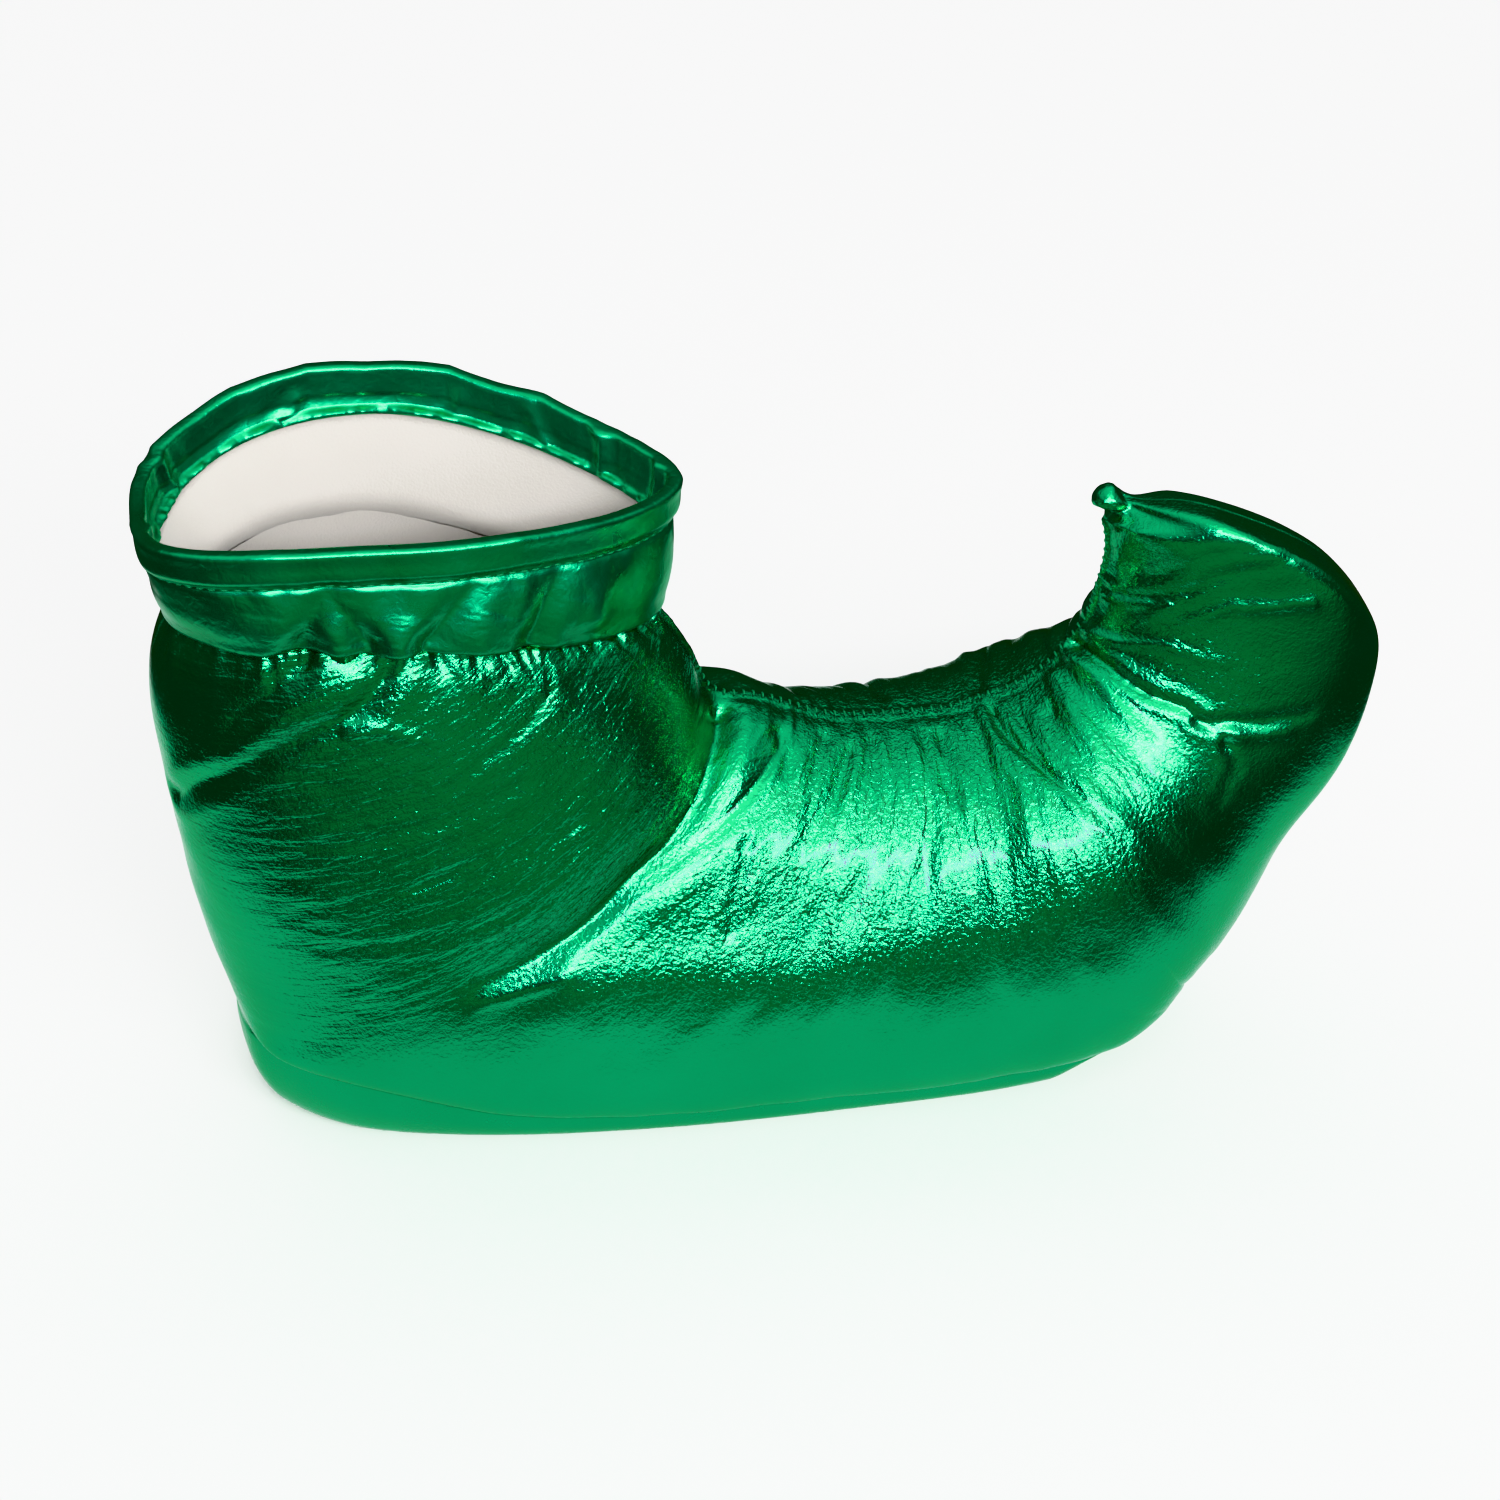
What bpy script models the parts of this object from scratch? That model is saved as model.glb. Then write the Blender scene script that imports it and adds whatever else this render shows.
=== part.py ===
"""Elf shoe: a padded cloth bootee with a curled toe, a gathered collar band and a soft flat sole.

+X runs from the heel to the toe, -Y is the flatter side of the collar, +Z is up, the floor is z = 0.
"""
import bmesh
import bpy
import numpy as np

for item in list(bpy.data.objects):
    bpy.data.objects.remove(item)

# Main sizes, metres
LENGTH = 0.342            # back of the collar to the back of the curled toe
COLLAR_HEIGHT = 0.195     # floor to the rim at the back
BALL_WIDTH = 0.108        # widest place, across the ball

# The same three sizes in the millimetres that the section tables are drawn in
DRAWN_LENGTH = 342.0
DRAWN_HEIGHT = 195.0
DRAWN_WIDTH = 108.0

# Cloth, metres
UPPER_WALL = 0.0026       # face cloth, wadding and lining
BAND_WALL = 0.0022
BAND_EDGE = 0.0007        # rounding of the folded edges of the band
TIP_SHARE = 0.35          # share of the wall left where the toe runs out
SEAM_GAP = 0.0003         # room in a sewn joint

# Sole, metres
FLAT_SHARE = 0.73         # share of the length at which the flat of the sole ends and the toe spring begins
SPRING_SLOPE = 0.62       # rise of the sole's underside past the flat
SOLE_LEAST = 0.0018       # thinnest place, at the front end
SOLE_PAD = 0.0080         # padding under the foot; round the heel the edge stands up past it as a soft cup
CUP_WALL = 0.0030         # wall of that cup at its seam
CUP_FOOT = 0.0046         # and where it meets the padding
ROUND_LEAST = 0.0045      # rounding of the sole's lower edge where the sole is thinnest
ROUND_SHARE = 0.29        # and its growth with the depth of the sole
INSOLE_THICK = 0.0030
INSOLE_INSET = 0.0054
INSOLE_EDGE = 0.0008

# Lower edge of the sole from the seam down: inset as a share of the rounding, height as a share of the depth
SOLE_PROFILE = ((0.02, 0.75), (0.12, 0.50), (0.36, 0.25), (0.66, 0.09), (1.00, 0.00))

# Mesh fineness
HALF_TURN = 14            # faces round each half of a section
CUTS = 3                  # rings drawn for each row of a table
SOFTEN = 1.3              # rows over which the flanks are eased into each other
OWN_SHARE = 0.5           # share of a point's own place in that easing
EASE_STEPS = (-1.0, -0.5, 0.5, 1.0)
BAND_EDGE_ANGLE = 55.0    # degrees; sharper edges of the band are rounded
MERGE_WITHIN = 1e-6       # metres

# Columns of a section: the seam point on top (or in front) and the outer point behind (or below) in the
# shoe's mid plane, half widths on both sides, where the widest place lies from seam point to outer point,
# how full the section is at its seam end and at its outer end on each side (2 is round, more is squarer),
# half width of the opening for the sole, and how far the two flanks rise above the section's own plane.
COLUMNS = ("seam_x", "seam_z", "outer_x", "outer_z", "near", "far", "widest", "seam_full",
           "near_full", "far_full", "opening", "near_rise", "far_rise")
UPPER = {
    "gather":      (135, 153,   3, 157, 38, 43, 0.56, 1.7, 2.2, 2.2,  0, 13, 13),
    "shaft_bulge": (142, 142,  -2, 142, 46, 48, 0.56, 1.9, 2.2, 2.2,  0,  9,  9),
    "shaft":       (149, 132,   0, 116, 49, 50, 0.56, 2.0, 2.2, 2.2,  0,  4,  4),
    "ankle":       (157, 124,   4,  84, 50, 50, 0.56, 2.0, 2.2, 2.2,  0,  1,  1),
    "heel":        (164, 119,  10,  50, 51, 51, 0.57, 2.0, 2.2, 2.2,  0,  0,  0),
    "heel_edge":   (170, 116,  15,  31, 51, 51, 0.60, 2.0, 2.3, 2.3,  0,  0,  0),
    "heel_turn":   (173, 115,  23,  30, 51, 51, 0.62, 2.0, 2.3, 2.3, 26,  0,  0),
    "heel_seat":   (178, 113,  48,  27, 52, 52, 0.64, 2.1, 2.4, 2.4, 42,  0,  0),
    "waist":       (185, 111,  88,  14, 53, 53, 0.64, 2.2, 2.4, 2.4, 46,  0,  0),
    "instep":      (194, 110, 138,  11, 54, 54, 0.64, 2.2, 2.4, 2.4, 48,  0,  0),
    "ball":        (206, 110, 188,  11, 54, 54, 0.64, 2.2, 2.4, 2.4, 47,  0,  0),
    "forefoot":    (220, 111, 234,  11, 54, 54, 0.63, 2.2, 2.3, 2.3, 44,  0,  0),
    "sole_front":  (233, 115, 268,  15, 52, 52, 0.61, 2.2, 2.2, 2.2, 36,  0,  0),
    "sole_tip":    (240, 118, 290,  23, 50, 50, 0.60, 2.1, 2.1, 2.1,  0,  0,  0),
    "toe_rise":    (247, 123, 310,  36, 46, 46, 0.60, 2.1, 2.1, 2.1,  0,  0,  0),
    "toe_under":   (254, 131, 330,  62, 38, 38, 0.58, 2.0, 2.0, 2.0,  0,  0,  0),
    "toe_back":    (259, 142, 342,  95, 31, 31, 0.56, 2.0, 2.0, 2.0,  0,  0,  0),
    "toe_crown":   (261, 152, 342, 129, 25, 25, 0.54, 2.0, 2.0, 2.0,  0,  0,  0),
    "toe_top":     (262, 161, 325, 154, 18, 18, 0.54, 2.0, 2.0, 2.0,  0,  0,  0),
    "toe_neck":    (261, 169, 294, 171, 11, 11, 0.52, 2.0, 2.0, 2.0,  0,  0,  0),
    "tip":         (258, 174, 267, 179,  5,  5, 0.50, 2.0, 2.0, 2.0,  0,  0,  0),
    "tip_round":   (257, 177, 261, 181,  3,  3, 0.50, 2.0, 2.0, 2.0,  0,  0,  0),
    "tip_end":     (257, 180, 257, 180,  0,  0, 0.50, 2.0, 2.0, 2.0,  0,  0,  0),
}
BAND = {
    "foot":        (135, 153,   3, 157, 38, 43, 0.56, 1.7, 2.2, 2.2,  0, 13, 13),
    "mid":         (138, 172,   1, 174, 41, 47, 0.55, 1.7, 3.0, 2.2,  0, 10, 13),
    "hem_under":   (140, 183,  -1, 185, 42, 50, 0.54, 1.6, 3.3, 2.2,  0,  8, 12),
    "hem_over":    (141, 185,  -2, 187, 43, 51, 0.54, 1.6, 3.4, 2.2,  0,  8, 12),
    "rim":         (141, 193,  -2, 195, 43, 51, 0.54, 1.6, 3.5, 2.2,  0,  8, 12),
}
OPENING_FIRST = list(UPPER).index("heel_edge")
OPENING_LAST = list(UPPER).index("sole_tip")
TAPER_FIRST = list(UPPER).index("toe_top")

# Finishes: colour, metallic, roughness
FOIL_FINISH = ((0.0, 0.23, 0.08, 1.0), 0.9, 0.35)
BAND_FINISH = ((0.0, 0.23, 0.08, 1.0), 0.9, 0.32)
SOLE_FINISH = ((0.0, 0.19, 0.07, 1.0), 0.9, 0.40)
FELT_FINISH = ((0.62, 0.58, 0.55, 1.0), 0.0, 0.9)


def row_places(rows, round_ends=()):
    """Row positions of the rings: evenly cut, but crowded toward the two ends of the sole opening."""
    places = [0.0]
    for row in range(len(rows) - 1):
        for cut in range(1, CUTS + 1):
            share = cut / CUTS
            if round_ends and row == round_ends[0]:
                share = share ** 2
            if round_ends and row == round_ends[1] - 1:
                share = 1.0 - (1.0 - share) ** 2
            places.append(row + share)
    return np.array(places)


def sections(rows, places):
    """Each column drawn smoothly through its rows at the given row positions, in metres."""
    table = np.array(list(rows.values()), float)
    table[:, COLUMNS.index("opening")] **= 2
    last = len(table) - 1
    first = np.clip(np.floor(places).astype(int), 0, last - 1)
    share = (places - first)[..., None]
    here = table[first]
    ahead = table[first + 1]
    before = np.where(first[..., None] > 0, table[np.maximum(first - 1, 0)], 2 * here - ahead)
    beyond = np.where(first[..., None] < last - 1, table[np.minimum(first + 2, last)], 2 * ahead - here)
    drawn = 0.5 * (2 * here + (ahead - before) * share
                   + (2 * before - 5 * here + 4 * ahead - beyond) * share ** 2
                   + (3 * here - before - 3 * ahead + beyond) * share ** 3)
    column = {name: drawn[..., place] for place, name in enumerate(COLUMNS)}
    # Squares of the opening's half width are drawn, which rounds both of its ends
    column["opening"] = np.sqrt(np.maximum(column["opening"], 0.0))
    for name in ("seam_x", "outer_x"):
        column[name] = column[name] * LENGTH / DRAWN_LENGTH
    for name in ("seam_z", "outer_z", "near_rise", "far_rise"):
        column[name] = column[name] * COLLAR_HEIGHT / DRAWN_HEIGHT
    for name in ("near", "far", "opening"):
        column[name] = column[name] * BALL_WIDTH / DRAWN_WIDTH
    return column


def on_skin(rows, places, angle, is_near):
    """Points at the given row positions and angles: 0 at the seam, pi at the outer line."""
    column = sections(rows, places)
    seam_end = np.cos(angle) >= 0.0
    outer_full = np.where(is_near, column["near_full"], column["far_full"])
    power = 2.0 / np.where(seam_end, column["seam_full"], outer_full)
    along = np.abs(np.cos(angle)) ** power
    across = np.clip(np.sin(angle), 0.0, 1.0) ** power
    widest = column["widest"]
    depth = np.where(seam_end, widest * (1 - along), widest + (1 - widest) * along)
    width = np.where(is_near, column["near"], column["far"])
    edge = np.where(seam_end, 0.0, column["opening"])
    rise = np.where(is_near, column["near_rise"], column["far_rise"])
    x = column["seam_x"] + (column["outer_x"] - column["seam_x"]) * depth
    y = np.where(is_near, -1.0, 1.0) * (edge + (width - edge) * across)
    z = column["seam_z"] + (column["outer_z"] - column["seam_z"]) * depth + rise * across ** 2
    return np.stack([x, y, z], axis=-1)


def skin(rows, places, soften=0.0):
    """Grid of points: one ring per place, from the seam round the near side to the outer line and back.

    Between its seam and its outer line each point is averaged along the shoe, which eases sharp turns
    of the outer line out of the flanks. Both ends of the table stay as drawn.
    """
    half = np.linspace(0.0, np.pi, HALF_TURN + 1)
    angle = np.concatenate([half, half[::-1]])[None, :] + 0.0 * places[:, None]
    is_near = np.arange(2 * HALF_TURN + 2)[None, :] <= HALF_TURN
    spot = places[:, None] + 0.0 * angle
    from_end = np.minimum(spot, len(rows) - 1 - spot)
    reach = np.minimum(soften * np.sin(angle) ** 2, from_end)
    grid = OWN_SHARE * on_skin(rows, spot, angle, is_near)
    for step in EASE_STEPS:
        grid += (1.0 - OWN_SHARE) / len(EASE_STEPS) * on_skin(rows, spot + step * reach, angle, is_near)
    return grid


def material(name, finish):
    """Principled surface in one colour."""
    colour, metallic, roughness = finish
    made = bpy.data.materials.new(name)
    made.use_nodes = True
    shader = made.node_tree.nodes["Principled BSDF"]
    shader.inputs["Base Color"].default_value = colour
    shader.inputs["Metallic"].default_value = metallic
    shader.inputs["Roughness"].default_value = roughness
    made.diffuse_color = colour
    return made


def add_object(name, bm, surface):
    """Named object from a mesh, in the shoe's collection."""
    mesh = bpy.data.meshes.new(name)
    bm.to_mesh(mesh)
    bm.free()
    mesh.materials.append(surface)
    made = bpy.data.objects.new(name, mesh)
    shoe.objects.link(made)
    return made


def grid_mesh(grid):
    """Open surface over a grid of rings, closed where both sides of a ring meet."""
    bm = bmesh.new()
    points = grid - CENTRE
    rings = [[bm.verts.new(point) for point in ring] for ring in points]
    for ring, after in zip(rings, rings[1:]):
        for turn in range(2 * HALF_TURN + 1):
            if turn != HALF_TURN:
                bm.faces.new((ring[turn], ring[turn + 1], after[turn + 1], after[turn]))
    bmesh.ops.remove_doubles(bm, verts=bm.verts, dist=MERGE_WITHIN)
    bmesh.ops.recalc_face_normals(bm, faces=bm.faces)
    return bm


def loops_mesh(loops):
    """Closed solid over a stack of like loops, with both ends bridged from side to side."""
    bm = bmesh.new()
    stack = [[bm.verts.new(point - CENTRE) for point in loop] for loop in loops]
    count = len(stack[0])
    for low, high in zip(stack, stack[1:]):
        for place in range(count):
            after = (place + 1) % count
            bm.faces.new((low[place], low[after], high[after], high[place]))
    for loop in (stack[0], stack[-1]):
        for place in range(count // 2):
            other = -place % count
            after = place + 1
            other_after = -after % count
            if place == 0:
                bm.faces.new((loop[0], loop[after], loop[other_after]))
            elif after == count // 2:
                bm.faces.new((loop[place], loop[after], loop[other]))
            else:
                bm.faces.new((loop[place], loop[after], loop[other_after], loop[other]))
    bmesh.ops.recalc_face_normals(bm, faces=bm.faces)
    return bm


def opening_loop(inset):
    """Edge of the sole opening, heel to toe on the near side and back on the far side, inset in plan.

    The inset is one size for the whole edge, or one for each of its points.
    """
    column = sections(UPPER, upper_places)
    first = OPENING_FIRST * CUTS
    last = OPENING_LAST * CUTS
    side = np.stack([column["outer_x"], -column["opening"], column["outer_z"]], axis=-1)[first:last + 1]
    back = side[-2:0:-1] * (1.0, -1.0, 1.0)
    loop = np.concatenate([side, back])
    run = np.roll(loop, -1, axis=0) - np.roll(loop, 1, axis=0)
    inward = np.stack([-run[:, 1], run[:, 0], np.zeros(len(loop))], axis=-1)
    inward /= np.linalg.norm(inward, axis=1)[:, None]
    return loop + inward * np.broadcast_to(inset, len(loop))[:, None]


shoe = bpy.data.collections.new("elf_shoe")
bpy.context.scene.collection.children.link(shoe)

upper_places = row_places(UPPER, (OPENING_FIRST, OPENING_LAST))
upper_grid = skin(UPPER, upper_places, SOFTEN)
band_grid = skin(BAND, row_places(BAND))
ends = np.concatenate([upper_grid.reshape(-1, 3), band_grid.reshape(-1, 3)])[:, 0]
CENTRE = np.array([(ends.min() + ends.max()) / 2, 0.0, 0.0])

# Upper: one hollow padded body from the gathers under the band to the point of the toe,
# open at the top and open underneath, where the sole closes it.
upper_bm = grid_mesh(upper_grid)
upper = add_object("upper", upper_bm, material("foil_cloth", FOIL_FINISH))
wall_group = upper.vertex_groups.new(name="wall")
tip_x, tip_y, tip_z = upper_grid[-1, 0] - CENTRE
taper_reach = np.linalg.norm(upper_grid[TAPER_FIRST * CUTS].mean(axis=0) - upper_grid[-1, 0])
for vertex in upper.data.vertices:
    distance = np.linalg.norm(np.array(vertex.co) - (tip_x, tip_y, tip_z))
    wall_group.add([vertex.index], min(1.0, TIP_SHARE + (1.0 - TIP_SHARE) * distance / taper_reach), "REPLACE")
upper_wall = upper.modifiers.new("wall", "SOLIDIFY")
upper_wall.thickness = UPPER_WALL
upper_wall.offset = -1.0
upper_wall.use_even_offset = False
upper_wall.vertex_group = "wall"

# Collar band: a ring of doubled cloth sewn to the gathers, with a stepped hem turned over at the rim.
band_bm = grid_mesh(band_grid + (0.0, 0.0, SEAM_GAP))
band = add_object("collar_band", band_bm, material("band_cloth", BAND_FINISH))
band_wall = band.modifiers.new("wall", "SOLIDIFY")
band_wall.thickness = BAND_WALL
band_wall.offset = -1.0
band_wall.use_even_offset = False
band_edge = band.modifiers.new("edge", "BEVEL")
band_edge.width = BAND_EDGE
band_edge.segments = 2
band_edge.limit_method = "ANGLE"
band_edge.angle_limit = np.radians(BAND_EDGE_ANGLE)

# Outsole: a padded tray under the opening, flat on the floor from the heel to the forefoot, rounded at its
# lower edge, standing up round the heel as a soft cup and sprung up under the toe.
seam = opening_loop(0.0) - (0.0, 0.0, SEAM_GAP)
sprung = np.maximum(0.0, seam[:, 0] - FLAT_SHARE * LENGTH) * SPRING_SLOPE
under = np.minimum(sprung, seam[:, 2] - SOLE_LEAST)
deep = seam[:, 2] - under
pad_top = np.minimum(under + SOLE_PAD, seam[:, 2])
rounding = ROUND_LEAST + ROUND_SHARE * deep
sole_loops = []
for inset, height in ((CUP_FOOT, pad_top), (CUP_WALL, seam[:, 2]), (0.0, seam[:, 2])):
    ring = opening_loop(inset)
    ring[:, 2] = height
    sole_loops.append(ring)
for inset_share, height_share in SOLE_PROFILE:
    ring = opening_loop(rounding * inset_share)
    ring[:, 2] = under + deep * height_share
    sole_loops.append(ring)
outsole = add_object("outsole", loops_mesh(sole_loops), material("sole_cloth", SOLE_FINISH))

# Insole: a thin loose sheet on the sole inside the cup.
insole_loops = []
for inset, height in ((INSOLE_INSET, 0.0), (INSOLE_INSET, INSOLE_THICK - INSOLE_EDGE),
                      (INSOLE_INSET + INSOLE_EDGE, INSOLE_THICK)):
    ring = opening_loop(inset)
    ring[:, 2] = pad_top + SEAM_GAP + height
    insole_loops.append(ring)
insole = add_object("insole", loops_mesh(insole_loops), material("insole_felt", FELT_FINISH))
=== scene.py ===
"""Elf shoe in green foil cloth: a padded bootee with a curled toe, a gathered collar band and a flat sole.

+X runs from the heel to the toe, -Y is the side that the camera sees, +Z is up and the floor is z = 0.
Tables, creases and cloth sizes are in millimetres; what Blender is given is in metres.
"""
import math

import bpy
import numpy as np
from mathutils import Matrix, Vector, kdtree, noise


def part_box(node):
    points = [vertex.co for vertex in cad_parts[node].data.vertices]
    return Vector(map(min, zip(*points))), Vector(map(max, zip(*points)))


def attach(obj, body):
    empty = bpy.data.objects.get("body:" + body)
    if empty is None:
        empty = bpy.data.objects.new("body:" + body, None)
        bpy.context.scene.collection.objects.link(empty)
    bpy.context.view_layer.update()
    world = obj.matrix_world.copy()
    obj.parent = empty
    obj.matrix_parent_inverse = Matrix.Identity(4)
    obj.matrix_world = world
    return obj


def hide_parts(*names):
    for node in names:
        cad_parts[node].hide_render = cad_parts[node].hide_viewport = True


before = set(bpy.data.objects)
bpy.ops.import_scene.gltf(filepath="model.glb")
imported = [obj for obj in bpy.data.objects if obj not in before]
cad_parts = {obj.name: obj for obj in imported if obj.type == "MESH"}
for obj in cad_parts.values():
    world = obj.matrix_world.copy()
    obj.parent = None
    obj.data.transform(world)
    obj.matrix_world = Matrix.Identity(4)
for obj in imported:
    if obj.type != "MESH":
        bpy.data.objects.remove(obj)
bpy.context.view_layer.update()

MM = 0.001

# Upper: two mirrored side panels of foil cloth over wadding, lined in pale cotton and sewn together along
# the top of the foot, round the toe and down the back. The top edge is gathered into the collar band,
# the bottom edge is sewn round the sole.
SECTION_COLUMNS = ("seam_x", "seam_z", "outer_x", "outer_z", "near", "far", "widest", "seam_full",
                   "near_full", "far_full", "opening", "near_rise", "far_rise")
UPPER_ROWS = {
    "gather":      (135, 153,   5, 164, 40.5, 45, 0.56, 1.7, 2.2, 2.2, 0, 10.6, 10.3),
    "shaft_bulge": (142, 142,  -3, 143, 46, 48, 0.56, 1.9, 2.2, 2.2,  0,  9,  9),
    "shaft":       (149, 132,  -1, 116, 49, 50, 0.56, 2.0, 2.2, 2.2,  0,  4,  4),
    "ankle":       (157, 124, 2.6,  84, 50, 50, 0.56, 2.0, 2.2, 2.2,  0,  1,  1),
    "heel":        (164, 119, 8.2,  50, 51, 51, 0.57, 2.0, 2.2, 2.2,  0,  0,  0),
    "heel_edge":   (170, 116, 13.6, 31, 51, 51, 0.60, 2.0, 2.3, 2.3,  0,  0,  0),
    "heel_turn":   (173, 115, 21.6, 30, 51, 51, 0.65, 2.0, 2.3, 2.3, 26,  0,  0),
    "heel_seat":   (178, 113,  48,  27, 52, 52, 0.70, 2.1, 2.4, 2.4, 42,  0,  0),
    "waist":       (185, 111,  88,  14, 53, 53, 0.71, 2.2, 2.4, 2.4, 46,  0,  0),
    "instep":      (194, 110, 138,  11, 54, 54, 0.68, 2.2, 2.4, 2.4, 48,  0,  0),
    "ball":        (206, 110, 188,  11, 54, 54, 0.65, 2.2, 2.4, 2.4, 47,  0,  0),
    "forefoot":    (220, 111, 234,  11, 55, 55, 0.56, 2.2, 2.2, 2.2, 44,  0,  0),
    "sole_front":  (233, 115, 269,  14, 57, 57, 0.47, 2.2, 2.1, 2.1, 36,  0,  0),
    "sole_tip":    (240, 118, 293,  21, 56, 56, 0.43, 2.1, 2.1, 2.1, 0,  0,  0),
    "toe_rise":    (247, 123, 309,  36, 49, 49, 0.43, 2.1, 2.0, 2.0, 0,  0,  0),
    "toe_under":   (254, 131, 323,  65, 37, 37, 0.47, 1.9, 2.0, 2.0,  0,  0,  0),
    "toe_back":    (259, 142, 337,  97, 30, 30, 0.56, 1.9, 2.9, 2.9,  0,  0,  0),
    "toe_crown":   (261, 152, 342, 129, 26, 26, 0.54, 1.9, 2.8, 2.8,  0,  0,  0),
    "toe_top":     (262, 161, 325, 154, 17, 17, 0.54, 1.9, 6.2, 2.6,  0,  0,  0),
    "toe_neck":    (261, 169, 294, 171, 12, 12, 0.52, 2.0, 5.6, 2.6,  0,  0,  0),
    "tip":         (258, 174, 267, 179,  7,  7, 0.50, 2.0, 2.3, 2.3,  0,  0,  0),
    "tip_round":   (257, 177, 261, 181,  3,  3, 0.50, 2.0, 2.0, 2.0,  0,  0,  0),
    "tip_end":     (257, 180, 257, 180,  0,  0, 0.50, 2.0, 2.0, 2.0,  0,  0,  0),
}
ROW_NAMES = list(UPPER_ROWS)
HEEL_EDGE = ROW_NAMES.index("heel_edge")
SOLE_TIP = ROW_NAMES.index("sole_tip")
TIP_END = ROW_NAMES.index("tip_end")
EASE_ROWS = 1.3
EASE_OWN = 0.5
EASE_BESIDE = 0.125
EASE_STEPS = (0.5, 1.0)
RING_STEP = 1.8
LINING_STRIDE = 4
HALF_COLUMNS = 108
GATHER_COLUMNS = 216
GATHER_ROWS = 1.6
FINE_STEPS = 800
RIPPLE_SHIFT = (17.31, 5.17, 9.73)


def smooth_between(table, spots):
    """Values drawn smoothly through the rows of a table, at fractional row numbers."""
    table = np.asarray(table, float)
    spots = np.asarray(spots, float)
    last = len(table) - 1
    first = np.clip(np.floor(spots).astype(int), 0, last - 1)
    share = (spots - first)[..., None]
    here = table[first]
    ahead = table[first + 1]
    before = np.where(first[..., None] > 0, table[np.maximum(first - 1, 0)], 2 * here - ahead)
    beyond = np.where(first[..., None] < last - 1, table[np.minimum(first + 2, last)], 2 * ahead - here)
    return 0.5 * (2 * here + (ahead - before) * share
                  + (2 * before - 5 * here + 4 * ahead - beyond) * share ** 2
                  + (3 * here - before - 3 * ahead + beyond) * share ** 3)


def section_sizes(rows, places):
    """Each column of a section table at the given row positions; the sole opening is rounded at its ends."""
    table = np.array(list(rows.values()), float)
    table[:, SECTION_COLUMNS.index("opening")] **= 2
    drawn = smooth_between(table, places)
    sizes = {name: drawn[..., column] for column, name in enumerate(SECTION_COLUMNS)}
    sizes["opening"] = np.sqrt(np.maximum(sizes["opening"], 0.0))
    return sizes


def section_points(rows, places, angle, is_near):
    """Points on the sections: angle 0 at the seam, pi at the outer line, on the near or the far side."""
    sizes = section_sizes(rows, places)
    seam_end = np.cos(angle) >= 0.0
    outer_full = np.where(is_near, sizes["near_full"], sizes["far_full"])
    power = 2.0 / np.where(seam_end, sizes["seam_full"], outer_full)
    along = np.abs(np.cos(angle)) ** power
    across = np.clip(np.sin(angle), 0.0, 1.0) ** power
    widest = sizes["widest"]
    depth = np.where(seam_end, widest * (1 - along), widest + (1 - widest) * along)
    width = np.where(is_near, sizes["near"], sizes["far"])
    edge = np.where(seam_end, 0.0, sizes["opening"])
    rise = np.where(is_near, sizes["near_rise"], sizes["far_rise"])
    x = sizes["seam_x"] + (sizes["outer_x"] - sizes["seam_x"]) * depth
    y = np.where(is_near, -1.0, 1.0) * (edge + (width - edge) * across)
    z = sizes["seam_z"] + (sizes["outer_z"] - sizes["seam_z"]) * depth + rise * across ** 2
    return np.stack([x, y, z], axis=-1)


def eased_points(rows, places, angle, is_near, ease):
    """Section points averaged along the shoe, which eases the sharp heel corner out of the flanks."""
    from_end = np.minimum(places, len(rows) - 1 - places)
    reach = np.minimum(ease * np.sin(angle) ** 2, from_end)
    points = EASE_OWN * section_points(rows, places, angle, is_near)
    for side in (-1.0, 1.0):
        for share in EASE_STEPS:
            points += EASE_BESIDE * section_points(rows, places + side * share * reach, angle, is_near)
    return points


def even_places(rows, first, last, step, even_count):
    """Row positions between two rows, about one step of cloth apart where the cloth is longest."""
    fine = np.linspace(first, last, FINE_STEPS)
    runs = []
    for angle in (0.0, 0.5 * math.pi, math.pi):
        points = section_points(rows, fine, np.full(len(fine), angle), np.full(len(fine), True))
        runs.append(np.linalg.norm(np.diff(points, axis=0), axis=1))
    along = np.concatenate([[0.0], np.cumsum(np.max(runs, axis=0))])
    count = even_count * max(1, round(along[-1] / step / even_count))
    return np.interp(np.linspace(0.0, along[-1], count + 1), along, fine)


def bridge(longer, shorter):
    """Faces between two rows of vertices, one of which may have several times the vertices of the other."""
    faces = []
    ratio = (len(longer) - 1) // (len(shorter) - 1)
    for step in range(len(shorter) - 1):
        here = shorter[step]
        ahead = shorter[step + 1]
        start = step * ratio
        if ratio == 1:
            faces.append((longer[start], longer[start + 1], ahead, here))
            continue
        middle = start + ratio // 2
        for place in range(start, middle):
            faces.append((longer[place], longer[place + 1], here))
        faces.append((longer[middle], ahead, here))
        for place in range(middle, start + ratio):
            faces.append((longer[place], longer[place + 1], ahead))
    return faces


def bridge_rings(longer, shorter):
    """Faces between two rings of vertices, the near half first."""
    half = len(longer) // 2
    short_half = len(shorter) // 2
    return bridge(longer[:half], shorter[:short_half]) + bridge(longer[half:], shorter[short_half:])


def tidy_faces(faces):
    """Faces without repeated corners, and without those that have shrunk to a line."""
    kept = []
    for face in faces:
        corners = [corner for place, corner in enumerate(face) if corner != face[place - 1]]
        if len(set(corners)) == len(corners) and len(corners) > 2:
            kept.append(tuple(corners))
    return kept


def turned_over(faces):
    """The same faces, seen from their other side."""
    return [face[::-1] for face in faces]


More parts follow.
